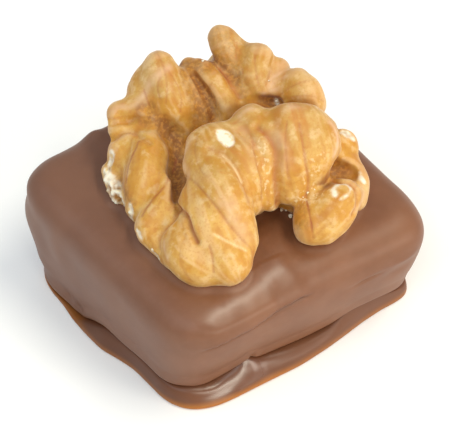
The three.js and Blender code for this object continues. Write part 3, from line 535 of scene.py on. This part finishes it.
def mesh_normals(points, faces):
    """Directions out of the surface at each point, of a mesh of four-sided faces."""
    corners = points[faces]
    across = np.cross(corners[:, 2] - corners[:, 0], corners[:, 3] - corners[:, 1])
    normals = np.zeros_like(points)
    for i in range(4):
        np.add.at(normals, faces[:, i], across)
    return normals / np.maximum(np.linalg.norm(normals, axis=1, keepdims=True), 1e-9)


def relaxed(points, faces, passes):
    """The points, each moved towards the middle of its neighbours."""
    edges = np.concatenate([faces[:, [i, (i + 1) % 4]] for i in range(4)])
    count = np.bincount(edges[:, 0], minlength=len(points))[:, None]
    for _ in range(passes):
        total = np.zeros_like(points)
        for axis in range(3):
            total[:, axis] = np.bincount(edges[:, 0], points[edges[:, 1], axis], len(points))
        points = 0.5 * points + 0.5 * total / count
    return points


def make_piece(name, shape, material, node=None):
    """A smooth piece, often in place of a CAD node, with named values at its points for the material."""
    points, faces, values = shape
    mesh = bpy.data.meshes.new(name)
    mesh.from_pydata((points * MM).tolist(), [], faces)
    mesh.shade_smooth()
    for label, numbers in values.items():
        layer = mesh.attributes.new(label, "FLOAT", "POINT")
        layer.data.foreach_set("value", np.asarray(numbers, np.float32))
    mesh.materials.append(material)
    piece = bpy.data.objects.new(name, mesh)
    bpy.context.collection.objects.link(piece)
    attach(piece, "root")
    if node:
        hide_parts(node)


# Walnut

def top_height(x, y):
    """Height of the chocolate's top face."""
    reach_x, reach_y = RIM_CORNERS[0]
    crown = np.cos(x / reach_x * np.pi / 2) * np.cos(y / reach_y * np.pi / 2)
    return SLAB_HEIGHT + TOP_SLOPE[0] * x + TOP_SLOPE[1] * y + TOP_CROWN * np.maximum(0, crown)


def lobe_distance(x, y, z, rows):
    """Distance to a lobe that tapers along the rows of its path, negative inside."""
    nearest = np.inf
    for (ax, ay, az, girth), (bx, by, bz, next_girth) in zip(rows[:-1], rows[1:]):
        dx, dy, dz = bx - ax, by - ay, bz - az
        share = ((x - ax) * dx + (y - ay) * dy + (z - az) * dz) / (dx * dx + dy * dy + dz * dz)
        share = np.clip(share, 0, 1)
        gap_x, gap_y, gap_z = x - ax - dx * share, y - ay - dy * share, z - az - dz * share
        gap = np.sqrt(gap_x ** 2 + gap_y ** 2 + gap_z ** 2)
        nearest = np.minimum(nearest, gap - girth - (next_girth - girth) * share)
    return nearest


def path_distance(points, places, steps=LOBE_STEPS):
    """Distance of each point to the tapering path through the places, negative inside."""
    return lobe_distance(*points.T, curve_through(places, steps))


class Field:
    """Distances to the walnut's surface on a grid, negative inside."""

    def __init__(self, lobes, hollows, cell, margin):
        paths = [curve_through(places, LOBE_STEPS) for places in lobes.values()]
        self.cell = cell
        self.low, high = path_box(np.concatenate(paths), margin)
        size = np.ceil((high - self.low) / cell).astype(int) + 1
        self.axes = [self.low[i] + cell * np.arange(size[i]) for i in range(3)]
        self.values = np.full(size, 2 * margin)
        for path in paths:
            self.join(path, margin, FOLD_BLEND)
        for places in hollows.values():
            self.join(curve_through(places, LOBE_STEPS), margin, HOLLOW_BLEND, -1)

    def join(self, path, margin, blend, side=1):
        """Blends one lobe into the field, in the box that it reaches, or with side -1 takes it away."""
        low, high = path_box(path, margin)
        window = tuple(slice(*np.searchsorted(axis, (a, b))) for axis, a, b in zip(self.axes, low, high))
        x, y, z = np.ix_(*(axis[part] for axis, part in zip(self.axes, window)))
        lobe = lobe_distance(x, y, z, path)
        rest = self.values[window] * side
        overlap = np.maximum(0, blend - np.abs(rest - lobe)) / blend
        self.values[window] = side * (np.minimum(rest, lobe) - overlap * overlap * blend / 4)

    def cut_below(self, height):
        """Keeps only what is above a height that depends on the place."""
        x, y, z = np.ix_(*self.axes)
        self.values = np.maximum(self.values, height(x, y) - z)

    def at(self, points):
        """Distances at any points, from the eight grid points round each."""
        place = (points - self.low) / self.cell
        place = np.clip(place, 0, np.array(self.values.shape) - 1.001)
        low = place.astype(int)
        return grid_value(self.values, low, place - low)

    def surface(self):
        """Points and four-sided faces where the distance is zero: a point in each crossed grid cell."""
        values = self.values
        inside = values < 0
        cells = np.array(values.shape) - 1
        total = np.zeros((*cells, 3))
        count = np.zeros(cells)
        for axis in range(3):
            start = np.take(values, range(cells[axis]), axis)
            end = np.take(values, range(1, cells[axis] + 1), axis)
            crossed = (start < 0) != (end < 0)
            share = np.where(crossed, start / np.where(crossed, start - end, 1), 0)
            one, two = (i for i in range(3) if i != axis)
            for step in np.ndindex(2, 2):
                part = [slice(None)] * 3
                part[one] = slice(step[0], step[0] + cells[one])
                part[two] = slice(step[1], step[1] + cells[two])
                here = crossed[tuple(part)]
                total[..., axis] += np.where(here, share[tuple(part)], 0)
                total[..., one] += here * step[0]
                total[..., two] += here * step[1]
                count += here
        used = count > 0
        number = np.full(cells, -1)
        number[used] = np.arange(used.sum())
        points = self.low + self.cell * (np.argwhere(used) + total[used] / count[used][:, None])
        faces = []
        for axis in range(3):
            right = np.eye(3, dtype=int)[(axis + 1) % 3]
            up = np.eye(3, dtype=int)[(axis + 2) % 3]
            start = np.take(inside, range(cells[axis]), axis)
            end = np.take(inside, range(1, cells[axis] + 1), axis)
            for leaving in (True, False):
                edges = np.argwhere(start & ~end if leaving else ~start & end)
                ring = [edges - right - up, edges - up, edges, edges - right]
                quad = np.stack([number[tuple(corner.T)] for corner in ring], axis=1)
                faces.append(quad if leaving else quad[:, ::-1])
        return points, np.concatenate(faces)


def lobe_place(points, path):
    """Distance of each point to a lobe, its way along the lobe and its way round it."""
    start, end = path[:-1], path[1:]
    line = end[:, :3] - start[:, :3]
    length = np.linalg.norm(line, axis=1)
    offset = points[:, None] - start[:, :3]
    share = np.clip((offset * line).sum(2) / length ** 2, 0, 1)
    gap = offset - share[..., None] * line
    girth = start[:, 3] + share * (end[:, 3] - start[:, 3])
    distance = np.linalg.norm(gap, axis=2) - girth
    best = distance.argmin(1)
    rows = np.arange(len(points))
    along = np.concatenate([[0], np.cumsum(length)])[best] + share[rows, best] * length[best]
    front = np.diag((-1, -1, 1))[np.argmin(np.abs(path[-1, :3] - path[0, :3]))]
    axis = line[best] / length[best][:, None]
    side = unit(np.cross(axis, front))
    gap = gap[rows, best]
    turn = np.arctan2((gap * side).sum(1), (gap * np.cross(side, axis)).sum(1))
    return distance[rows, best], along, turn * girth[rows, best]


def lobe_grain(points):
    """Streaks along the lobe that each point is on, between -1 and 1."""
    total = np.zeros(len(points))
    weight = np.full(len(points), 1e-9)
    for number, places in enumerate(LOBES.values()):
        path = curve_through(places, LOBE_STEPS)
        low, high = path_box(path, GRAIN_REACH)
        near = np.nonzero(np.all((points > low) & (points < high), axis=1))[0]
        distance, along, around = lobe_place(points[near], path)
        place = np.column_stack([along, around, np.full(len(along), 5.0 * number)])
        share = np.exp(-distance / 0.15)
        for seed, size in enumerate(GRAIN_SIZES, GRAIN_SEED):
            total[near] += share * soft_noise(place / (*size, 1), 1, seed)
        weight[near] += share
    return np.clip(GRAIN_STRENGTH * total / weight, -1, 1)


def walnut_lines(points):
    """How far the creases, cracks and pale bands move the surface, then how brown or pale they make it."""
    swell, vein_and_crease_shade, pale, band = np.zeros((4, len(points)))
    for depth, width, brown, places in CREASES.values():
        distance = line_distance(points, places, LINE_REACH * width)
        swell += depth * (BANK * bell(distance - 2 * width, width) - bell(distance, width))
        vein_and_crease_shade = np.maximum(vein_and_crease_shade, brown * bell(distance, VEIN_WIDTH * width))
    for depth, width, places in CRACKS.values():
        crack = bell(line_distance(points, places, LINE_REACH * width), width)
        swell -= depth * crack
        pale = np.maximum(pale, CRACK_PALE * crack)
    for width, strength, places in PALE_BANDS_AND_SHEEN.values():
        distance = line_distance(points, places, LINE_REACH * width)
        band = np.maximum(band, strength * bell(distance, width))
    band = band * (0.75 + uneven(points, "band"))
    return swell + BAND_RISE * band, vein_and_crease_shade, pale, band


def walnut_places(points):
    """How far the skin is gone, crumbly, brown (partly painted shade) and specked at each point."""
    flesh, loose, brown, speckled = np.zeros((4, len(points)))
    ragged = uneven(points, "ragged") + uneven(points, "ragged_fine")
    for crumbs, places in BREAKS.values():
        distance = path_distance(points, places, BREAK_STEPS) + ragged * (0.4 + 0.6 * crumbs)
        bare = fade(-0.15, 0.15, distance)
        flesh = np.maximum(flesh, bare)
        loose = np.maximum(loose, crumbs * bare)
    # brown skin, partly its own colour and partly painted shade in valleys and beside the broken edge
    for strength, places in BROWN_AND_SHADE_PLACES.values():
        distance = path_distance(points, places) + 2 * ragged
        brown = np.maximum(brown, strength * fade(-0.8, 0.9, distance))
    for places in SPECKLED.values():
        speckled = np.maximum(speckled, fade(-0.7, 0.7, path_distance(points, places)))
    return flesh, loose, brown, speckled


def walnut_mesh(field):
    """The walnut's points and faces, and the values that its colour follows."""
    points, faces = field.surface()
    points = relaxed(points, faces, NUT_SMOOTHING)
    normals = mesh_normals(points, faces)
    # brown in the sunken places between folds: partly the skin's own colour, partly painted shade
    hollow_brown_and_shade = 1 - field.at(points + normals * HOLLOW_REACH) / HOLLOW_REACH
    deep_brown_and_shade = 1 - field.at(points + normals * DEEP_REACH) / DEEP_REACH
    bulge = ((points - relaxed(points, faces, CREST_SMOOTHING)) * normals).sum(1)
    grain = lobe_grain(points)
    swell, vein_and_crease_shade, pale, band = walnut_lines(points)
    flesh, loose, brown, speckled = walnut_places(points)
    for kind in ("kernel", "kernel_small", "kernel_fine"):
        swell += uneven(points, kind)
    rear = ease(0.05, 0.45, normals @ REAR)
    wrinkles = rear * bell(uneven(points * (1, 1, 0.6), "wrinkle"), WRINKLE_WIDTH)
    swell += rear * uneven(points, "rear") - WRINKLE_DEPTH * wrinkles
    crumbly = uneven(points, "crumbly") + uneven(points, "crumbly_fine")
    swell += loose * (CRUMB_RISE * crumbly - 0.03) - BREAK_DEPTH * flesh
    swell += GRAIN_RISE * grain + brown * uneven(points, "brown")
    points = points + normals * swell[:, None]
    values = {
        "hollow_brown_and_shade": np.clip(hollow_brown_and_shade, 0, 1),
        "deep_brown_and_shade": np.clip(deep_brown_and_shade, 0, 1),
        # painted pale sheen on the convex crests
        "painted_crest_sheen": ease(*np.percentile(bulge, CREST_SHARES), bulge),
        "grain": 0.5 + 0.5 * grain,
        # painted shade that tones down the brightly lit higher lobes
        "tone": ease(*SHADED_UPPER_HEIGHTS, points[:, 2]),
        "vein_and_crease_shade": np.maximum(vein_and_crease_shade, WRINKLE_BROWN * wrinkles),
        "brown": brown,
        "membrane_and_sheen": np.clip(band, 0, 1),
        "pale": pale,
        "speckled": speckled,
        "flesh": flesh,
        "pit": loose * ease(-0.4, 0.7, -crumbly),
    }
    return points, faces.tolist(), values


def crumb_mesh():
    """Loose bits of flesh round the kernel, each a lumpy ball made from the six sides of a box."""
    steps = np.linspace(-1, 1, CRUMB_STEPS)
    across, up = (side.ravel() for side in np.meshgrid(steps, steps, indexing="ij"))
    row, column = np.meshgrid(np.arange(CRUMB_STEPS - 1), np.arange(CRUMB_STEPS - 1), indexing="ij")
    first = (row * CRUMB_STEPS + column).ravel()
    side_faces = np.column_stack([first, first + CRUMB_STEPS, first + CRUMB_STEPS + 1, first + 1])
    rise, wavelength, seed = CRUMB_LUMPS
    balls, faces = [], []
    for *place, size in CRUMBS:
        for axis in range(3):
            for end in (-1, 1):
                side = np.empty((len(across), 3))
                side[:, axis] = end
                side[:, (axis + 1) % 3] = across * end
                side[:, (axis + 2) % 3] = up
                ball = unit(side)
                lumps = 1 + rise * soft_noise(ball * size + place, wavelength * size, seed)
                faces.append(side_faces + len(balls) * len(side))
                balls.append(place + ball * size * lumps[:, None])
    points = np.concatenate(balls)
    values = {"flesh": np.ones(len(points)), "pit": 0.7 * ease(0, 0.7, uneven(points, "crumb_pit"))}
    return points, np.concatenate(faces).tolist(), values


# Chocolate

def rounded_lap(corners, trim):
    """Evenly spaced points round four corners that are rounded off, and the directions out of the wall."""
    corners = np.array(corners, float)
    turn = np.linspace(0, 1, CORNER_STEPS)[:, None]
    path = []
    for i, corner in enumerate(corners):
        start = corner + unit(corners[i - 1] - corner) * trim
        end = corner + unit(corners[(i + 1) % len(corners)] - corner) * trim
        path.append((1 - turn) ** 2 * start + 2 * turn * (1 - turn) * corner + turn ** 2 * end)
    path = np.concatenate(path + [path[0][:1]])
    length = np.concatenate([[0], np.cumsum(np.linalg.norm(np.diff(path, axis=0), axis=1))])
    stops = np.arange(LAP_STEPS) / LAP_STEPS * length[-1]
    lap = np.column_stack([np.interp(stops, length, path[:, i]) for i in range(2)])
    along = unit(np.roll(lap, -1, axis=0) - np.roll(lap, 1, axis=0))
    return lap, np.column_stack([along[:, 1], -along[:, 0]])


def chocolate_profile():
    """Rings of points from the sole over the foot, the wall and the top edge, before they are smoothed."""
    rim, rim_out = rounded_lap(RIM_CORNERS, RIM_TRIM)
    base, base_out = rounded_lap(BASE_CORNERS, BASE_TRIM)
    rim_height = top_height(*rim.T) - EDGE_DROP
    inset = round_the_lap(SEAM_INSET)
    base = base - base_out * inset[:, None]
    reach = round_the_lap(FOOT_REACH) + inset
    seam = round_the_lap(SEAM_HEIGHT) - inset
    straight = round_the_lap(FOOT_STRAIGHT)
    nose = np.minimum(FOOT_NOSE, 0.5 * seam)

    def foot_ring(out, height):
        return np.column_stack([base + base_out * out[:, None], np.broadcast_to(height, LAP_STEPS)])

    def wall_ring(out, height):
        rise = np.clip((height - WALL_FOOT) / (rim_height - WALL_FOOT), 0, 1)
        swell = np.sin(rise * np.pi / 2)[:, None]
        return np.column_stack([base + (rim - base) * swell + rim_out * out, height])

    rings = [
        foot_ring(reach - FOOT_SOLE, 0),
        foot_ring(reach - FOOT_UNDER[0], FOOT_UNDER[1] * nose),
        foot_ring(reach, nose),
    ]
    for (out, up, gap), (slope_out, slope_up) in zip(FOOT_ROUND, FOOT_SLOPE):
        out = out + straight * (slope_out - out)
        up = up + straight * (slope_up - up)
        rings.append(foot_ring(out * reach + gap, nose + up * (seam - nose)))
    rings.append(wall_ring(-SEAM_DEPTH, seam))
    for out, up in LIP:
        rings.append(wall_ring(out, seam + up))
    for share in np.linspace(0, 1, WALL_KNOTS):
        rings.append(wall_ring(0, seam + LIP_TOP + share * (rim_height - seam - LIP_TOP)))
    for turn in np.linspace(0, np.pi / 2, EDGE_KNOTS + 1)[1:]:
        place = rim - rim_out * EDGE_ROUND * (1 - np.cos(turn))
        height = top_height(*place.T) - EDGE_DROP * (1 - np.sin(turn))
        rings.append(np.column_stack([place, height]))
    return np.array(rings)


def chocolate_rings():
    """Rings of points all over the chocolate, from the middle of the sole to the middle of the top."""
    knots = chocolate_profile()
    count = len(knots)
    rings = curve_through(knots.reshape(count, -1), PROFILE_STEPS * (count - 1)).reshape(-1, LAP_STEPS, 3)
    sole = [rings[0] * (share, share, 0) for share in np.linspace(0.02, 1, SOLE_RINGS, endpoint=False)]
    top = []
    for share in np.linspace(1, 0.004, TOP_RINGS)[1:]:
        place = rings[-1][:, :2] * share
        top.append(np.column_stack([place, top_height(*place.T)]))
    rings = np.concatenate([sole, rings, top])
    for _ in range(EDGE_SMOOTHING):
        smoothed = rings[EDGE_START - 1:-2] + 2 * rings[EDGE_START:-1] + rings[EDGE_START + 1:]
        rings[EDGE_START:-1] = smoothed / 4
    return rings


def ring_faces(count):
    """Four-sided faces between the rings, and the two many-sided ones that close the ends."""
    ring, step = np.meshgrid(np.arange(count - 1), np.arange(LAP_STEPS), indexing="ij")
    after = (step + 1) % LAP_STEPS
    here = ring * LAP_STEPS
    above = here + LAP_STEPS
    faces = np.stack([here + step, here + after, above + after, above + step], axis=-1)
    lap = np.arange(LAP_STEPS)
    return faces.reshape(-1, 4), [lap[::-1].tolist(), (lap + (count - 1) * LAP_STEPS).tolist()]


def fold_place(points):
    """How strong the fold of the front wall is at each point, and how far the point is above its edge."""
    x, y, height = points.T
    fold_x, fold_height = np.transpose(FOLD)
    strength = ease(fold_x[0], fold_x[0] + FOLD_END, x) * fade(fold_x[-1] - FOLD_END, fold_x[-1], x)
    front_y, front_height = FRONT_WALL
    front = (y < front_y) & (height > front_height)
    return front * strength, height - np.interp(x, fold_x, fold_height) - uneven(points, "fold")


def chocolate_swell(points, lap, wall):
    """How far the chocolate's surface moves out along its normals."""
    height = points[:, 2]
    swell = uneven(points, "slab") * ease(2.5, 4.0, height)
    swell += uneven(points * (1, 1, 0.3), "wall") * wall * fade(10, 12, height)
    swell += uneven(points, "slab_fine") * ease(0.4, 1.0, height)
    for share, middle, width, tallness, amount in SWELLINGS:
        away = np.abs((lap - share + 0.5) % 1 - 0.5)
        swell += amount * bell(away, width) * bell(height - middle, tallness) * (height > SOLE_EDGE)
    fold, above = fold_place(points)
    step = ease(-0.15, 0.15, above) * fade(0.4, 3.0, above) - 0.5 * bell(above + 0.15, 0.2)
    return swell + FOLD_STEP * fold * step


def chocolate_rise(points, field):
    """How far the top is raised: at the slope, the front ridge, round the kernel and at the rear bumps."""
    x, y = points[:, 0], points[:, 1]
    slope_x, slope_y, slope_height = np.transpose(PUSHED)
    inside = y - np.interp(x, slope_x, slope_y)
    rise = np.interp(x, slope_x, slope_height) * ease(*PUSHED_START, inside) * fade(*PUSHED_END, inside)
    ridge = [(*place, 0) for place in RIDGE]
    distance = line_distance(points * (1, 1, 0), ridge, LINE_REACH * RIDGE_WIDTH)
    rise += RIDGE_HEIGHT * bell(distance, RIDGE_WIDTH)
    rise += COLLAR * fade(-0.1, 0.7, field.at(points + (0, 0, 0.2)))
    for bump_x, bump_y, width, gain in REAR_BUMPS:
        rise += gain * bell(np.hypot(x - bump_x, y - bump_y), width)
    return rise


def chocolate_mesh(field):
    """The chocolate's points and faces, and the values that its colour follows."""
    rings = chocolate_rings()
    faces, ends = ring_faces(len(rings))
    knot = np.repeat((np.arange(len(rings)) - SOLE_RINGS) / PROFILE_STEPS, LAP_STEPS)
    lap = np.tile(np.arange(LAP_STEPS) / LAP_STEPS, len(rings))
    wall = ease(SEAM_KNOT, SEAM_KNOT + 2, knot)
    plain = rings.reshape(-1, 3)
    height = plain[:, 2]
    points = plain + mesh_normals(plain, faces) * chocolate_swell(plain, lap, wall)[:, None]
    rise_start, rise_full = (SLAB_HEIGHT - below for below in RISE_BELOW)
    points[:, 2] += chocolate_rise(points, field) * ease(rise_start, rise_full, height)
    foot = fade(SEAM_KNOT - 0.8, SEAM_KNOT + 0.3, knot)
    shaded = ease(*SHADED_START, lap) * fade(*SHADED_END, lap)
    rim_top = 1 - 0.2 * bell(lap - FRONT_CORNER, 0.06)
    strip = STRIP_GLOSS * fade(-1.0, 2.0, path_distance(points, GLOSSY_STRIP))
    foot_gloss = foot * bell(lap - FRONT_CORNER, 0.055) * ease(0.4, 1.0, height)
    faint_lap, faint_width = FAINT_SEAM
    # painted shade along the seam, and below under the front fold
    seam = bell(knot - SEAM_KNOT, 0.6) * (1 - 0.6 * bell(lap - faint_lap, faint_width))
    fold, above = fold_place(plain)
    # painted glow along the foot's thin lower edge, as of light through the chocolate; weaker on the
    # shaded side
    rim = foot * fade(0.25, 1.15, height / rim_top) * (1 - 0.5 * shaded)
    values = {
        # the foot's own darker brown, darker still on the left side as painted shade
        "foot": foot * (0.55 + 0.45 * shaded),
        "rim": rim * (1 - 0.45 * ease(0.6, 0.68, lap)),
        "crease": np.maximum(seam, fold * bell(above + 0.05, 0.2)),
        "gloss": np.maximum(strip, foot_gloss),
        # painted grey sheen, a reflection on the walls that face left and rear
        "painted_grey_sheen": ease(-2, 14, points[:, :2] @ GREY_SHEEN_SIDE) * wall,
    }
    return points, faces.tolist() + ends, values


# Materials

def linear(red, green, blue):
    """A colour as the shader takes it, from its usual values of 0 to 255."""
    shares = np.array([red, green, blue]) / 255
    shares = np.where(shares <= 0.04045, shares / 12.92, ((shares + 0.055) / 1.055) ** 2.4)
    return (*shares.tolist(), 1)


class Nodes:
    """A material's nodes, which lead to its shader."""

    def __init__(self, name):
        self.material = bpy.data.materials.new(name)
        self.material.use_nodes = True
        self.tree = self.material.node_tree
        self.shader = self.tree.nodes["Principled BSDF"]

    def add(self, kind, inputs, **settings):
        """A new node. Its inputs are values or other nodes' outputs."""
        node = self.tree.nodes.new(kind)
        for name, value in settings.items():
            setattr(node, name, value)
        for name, value in inputs.items():
            self.put(node.inputs[name], value)
        return node

    def put(self, socket, value):
        if isinstance(value, bpy.types.NodeSocket):
            self.tree.links.new(value, socket)
        else:
            socket.default_value = value

    def place(self):
        return self.add("ShaderNodeTexCoord", {}).outputs["Object"]

    def noise(self, wavelength, detail=2.0, rough=0.5):
        """Noise between 0 and 1 whose bumps are about a wavelength in millimetres apart."""
        scale = 1 / (wavelength * MM)
        inputs = {"Vector": self.place(), "Scale": scale, "Detail": detail, "Roughness": rough}
        return self.add("ShaderNodeTexNoise", inputs).outputs["Fac"]

    def value(self, name):
        return self.add("ShaderNodeAttribute", {}, attribute_name=name).outputs["Fac"]

    def span(self, value, low, high, start=0.0, end=1.0):
        """The value's way from low to high, as a smooth way from start to end."""
        inputs = {"Value": value, "From Min": low, "From Max": high, "To Min": start, "To Max": end}
        return self.add("ShaderNodeMapRange", inputs, interpolation_type="SMOOTHSTEP").outputs["Result"]

    def mix(self, share, *colours):
        """A mix of two colours, each another node's output or red, green and blue from 0 to 255."""
        first, second = (linear(*each) if isinstance(each, tuple) else each for each in colours)
        node = self.add("ShaderNodeMix", {0: share, 6: first, 7: second}, data_type="RGBA")
        return node.outputs[2]

    def paint(self, colour, layers):
        """The colour under layers, each given as a share and its own colour."""
        for share, layer in layers:
            colour = self.mix(share, colour, layer)
        return colour

    def times(self, first, second):
        return self.add("ShaderNodeMath", {0: first, 1: second}, operation="MULTIPLY").outputs[0]

    def bump(self, height, distance, strength):
        inputs = {"Height": height, "Distance": distance * MM, "Strength": strength}
        return self.add("ShaderNodeBump", inputs).outputs["Normal"]

    def finish(self, **sockets):
        """Sets the shader's sockets, named with _ for a space."""
        for name, value in sockets.items():
            self.put(self.shader.inputs[name.replace("_", " ")], value)
        return self.material


def chocolate_material():
    nodes = Nodes("milk_chocolate")
    colour = nodes.mix(nodes.span(nodes.noise(5.0), 0.35, 0.65), (118, 74, 47), (127, 82, 54))
    colour = nodes.paint(colour, [
        (nodes.span(nodes.noise(0.9, 3.0), 0.4, 0.75, 0, 0.25), (134, 89, 65)),
        # painted grey sheen: a reflection on the walls that face left and rear
        (nodes.times(nodes.value("painted_grey_sheen"), 0.45), (104, 76, 66)),
        # the foot's darker brown, with painted shade on its left side
        (nodes.value("foot"), (92, 48, 20)),
        # painted orange glow of light through the foot's thin edge
        (nodes.value("rim"), (170, 102, 26)),
        # painted shade in the seam and under the fold's edge
        (nodes.times(nodes.value("crease"), 0.6), (84, 46, 28)),
    ])
    return nodes.finish(
        Base_Color=colour,
        Roughness=nodes.span(nodes.value("gloss"), 0, 1, 0.46, 0.24),
        Specular_IOR_Level=0.45,
        Coat_Weight=nodes.span(nodes.value("gloss"), 0.5, 1, 0, 0.7),
        Coat_Roughness=0.26,
        Subsurface_Weight=0.12,
        Subsurface_Radius=(1.0, 0.45, 0.2),
        Subsurface_Scale=0.8 * MM,
        Normal=nodes.bump(nodes.noise(1.6, detail=3.0), 0.03, 0.3),
    )


def walnut_material():
    nodes = Nodes("walnut_skin")
    grain = nodes.value("grain")
    blotch = nodes.noise(1.1, 5.0, 0.55)
    patch = nodes.span(nodes.noise(2.6), 0.35, 0.65)
    lower_skin = nodes.mix(patch, (196, 140, 47), (207, 161, 82))
    # the upper skin is darker as painted shade on the brightly lit higher lobes
    shaded_upper_skin = nodes.mix(patch, (184, 132, 46), (194, 152, 82))
    brown_and_shade_skin = nodes.mix(nodes.span(nodes.noise(0.35, 3.0), 0.42, 0.66), (128, 73, 27), (180, 120, 50))
    specks = nodes.span(nodes.noise(0.45, 2.0), 0.52, 0.7, 0, 0.6)
    white = nodes.mix(nodes.span(nodes.noise(0.6, 3.0), 0.52, 0.72), (240, 230, 208), (226, 198, 140))
    colour = nodes.paint(nodes.mix(nodes.value("tone"), lower_skin, shaded_upper_skin), [
        (nodes.span(blotch, 0.5, 0.66, 0, 0.45), (224, 192, 142)),
        (nodes.span(blotch, 0.5, 0.36, 0, 0.35), (186, 115, 36)),
        (nodes.span(grain, 0.5, 0.9, 0, 0.5), (220, 184, 132)),
        (nodes.span(grain, 0.5, 0.1, 0, 0.5), (178, 107, 36)),
        (nodes.span(nodes.noise(0.25), 0.5, 0.7, 0, 0.3), (182, 114, 44)),
        # painted pinkish sheen on the crests
        (nodes.span(nodes.value("painted_crest_sheen"), 0.3, 1.0, 0, 0.4), (214, 174, 128)),
        # browner in hollows, partly the skin's own colour and partly painted shade
        (nodes.span(nodes.value("deep_brown_and_shade"), 0.35, 0.9, 0, 0.55), (152, 90, 34)),
        (nodes.span(nodes.value("hollow_brown_and_shade"), 0.4, 0.95, 0, 0.6), (122, 66, 24)),
        # brown skin, partly its own colour and partly painted shade
        (nodes.value("brown"), brown_and_shade_skin),
        (nodes.times(specks, nodes.value("speckled")), (232, 208, 164)),
        # pale membrane, with painted sheen and highlight on limbs and lit folds
        (nodes.value("membrane_and_sheen"), (218, 180, 146)),
        # brown veins, with painted shade in the creases
        (nodes.value("vein_and_crease_shade"), (156, 78, 36)),
        (nodes.value("pale"), (238, 210, 158)),
        (nodes.value("flesh"), nodes.mix(nodes.value("pit"), white, (164, 112, 52))),
    ])
    return nodes.finish(
        Base_Color=colour,
        Roughness=nodes.span(nodes.noise(0.8), 0.3, 0.7, 0.44, 0.6),
        Specular_IOR_Level=0.35,
        Subsurface_Weight=0.1,
        Subsurface_Radius=(1.0, 0.6, 0.3),
        Subsurface_Scale=0.7 * MM,
        Sheen_Weight=0.25,
        Sheen_Roughness=0.4,
        Sheen_Tint=(1.0, 0.9, 0.82, 1.0),
        Normal=nodes.bump(nodes.noise(0.4, 4.0), 0.06, 0.5),
    )


# Floor, light and camera

def make_floor():
    nodes = Nodes("pale_floor")
    tone = nodes.span(nodes.noise(120.0), 0.3, 0.7)
    nodes.finish(Base_Color=nodes.mix(tone, (249, 249, 249), (252, 252, 252)), Roughness=0.7)
    mesh = bpy.data.meshes.new("floor")
    corners = [(FLOOR_REACH * x, FLOOR_REACH * y, 0) for x, y in ((-1, -1), (1, -1), (1, 1), (-1, 1))]
    mesh.from_pydata(corners, [], [(0, 1, 2, 3)])
    mesh.materials.append(nodes.material)
    floor = bpy.data.objects.new("floor", mesh)
    bpy.context.collection.objects.link(floor)


def make_light(name, place, sides, power, tint):
    """A soft light with two sides that faces the praline."""
    lamp = bpy.data.lights.new(name, "AREA")
    lamp.shape = "RECTANGLE"
    lamp.size, lamp.size_y = sides
    lamp.energy = power
    lamp.color = tint
    light = bpy.data.objects.new(name, lamp)
    light.location = place
    aim = Vector(LIGHT_AIM) - Vector(place)
    light.rotation_euler = aim.to_track_quat("-Z", "Y").to_euler()
    bpy.context.collection.objects.link(light)


def make_world():
    world = bpy.data.worlds.new("studio")
    world.use_nodes = True
    background = world.node_tree.nodes["Background"]
    background.inputs["Color"].default_value = (1, 1, 1, 1)
    background.inputs["Strength"].default_value = WORLD_STRENGTH
    bpy.context.scene.world = world


def make_camera():
    turn, rise = VIEW_TURN, VIEW_RISE
    right = Vector((math.cos(turn), -math.sin(turn), 0))
    back = Vector((-math.sin(turn) * math.cos(rise), -math.cos(turn) * math.cos(rise), math.sin(rise)))
    rotation = Matrix((right, back.cross(right), back)).transposed()
    lens = bpy.data.cameras.new("camera")
    lens.lens = VIEW_LENS
    lens.clip_start = VIEW_NEAR
    camera = bpy.data.objects.new("camera", lens)
    camera.matrix_world = rotation.to_4x4()
    camera.location = (Vector(VIEW_TARGET) + back * VIEW_DISTANCE) * MM
    bpy.context.collection.objects.link(camera)
    bpy.context.scene.camera = camera


walnut_field = Field(LOBES, HOLLOWS, NUT_CELL, NUT_MARGIN)
walnut_field.cut_below(top_height)
wide_field = Field(LOBES, {}, WIDE_CELL, WIDE_MARGIN)
skin = walnut_material()
make_piece("walnut_kernel", walnut_mesh(walnut_field), skin, "walnut_half")
make_piece("walnut_crumbs", crumb_mesh(), skin)
make_piece("chocolate_slab", chocolate_mesh(wide_field), chocolate_material(), "chocolate")
make_floor()
make_world()
for name, settings in LIGHTS.items():
    make_light(name, *settings)
make_camera()
bpy.context.scene.view_settings.view_transform = "Standard"
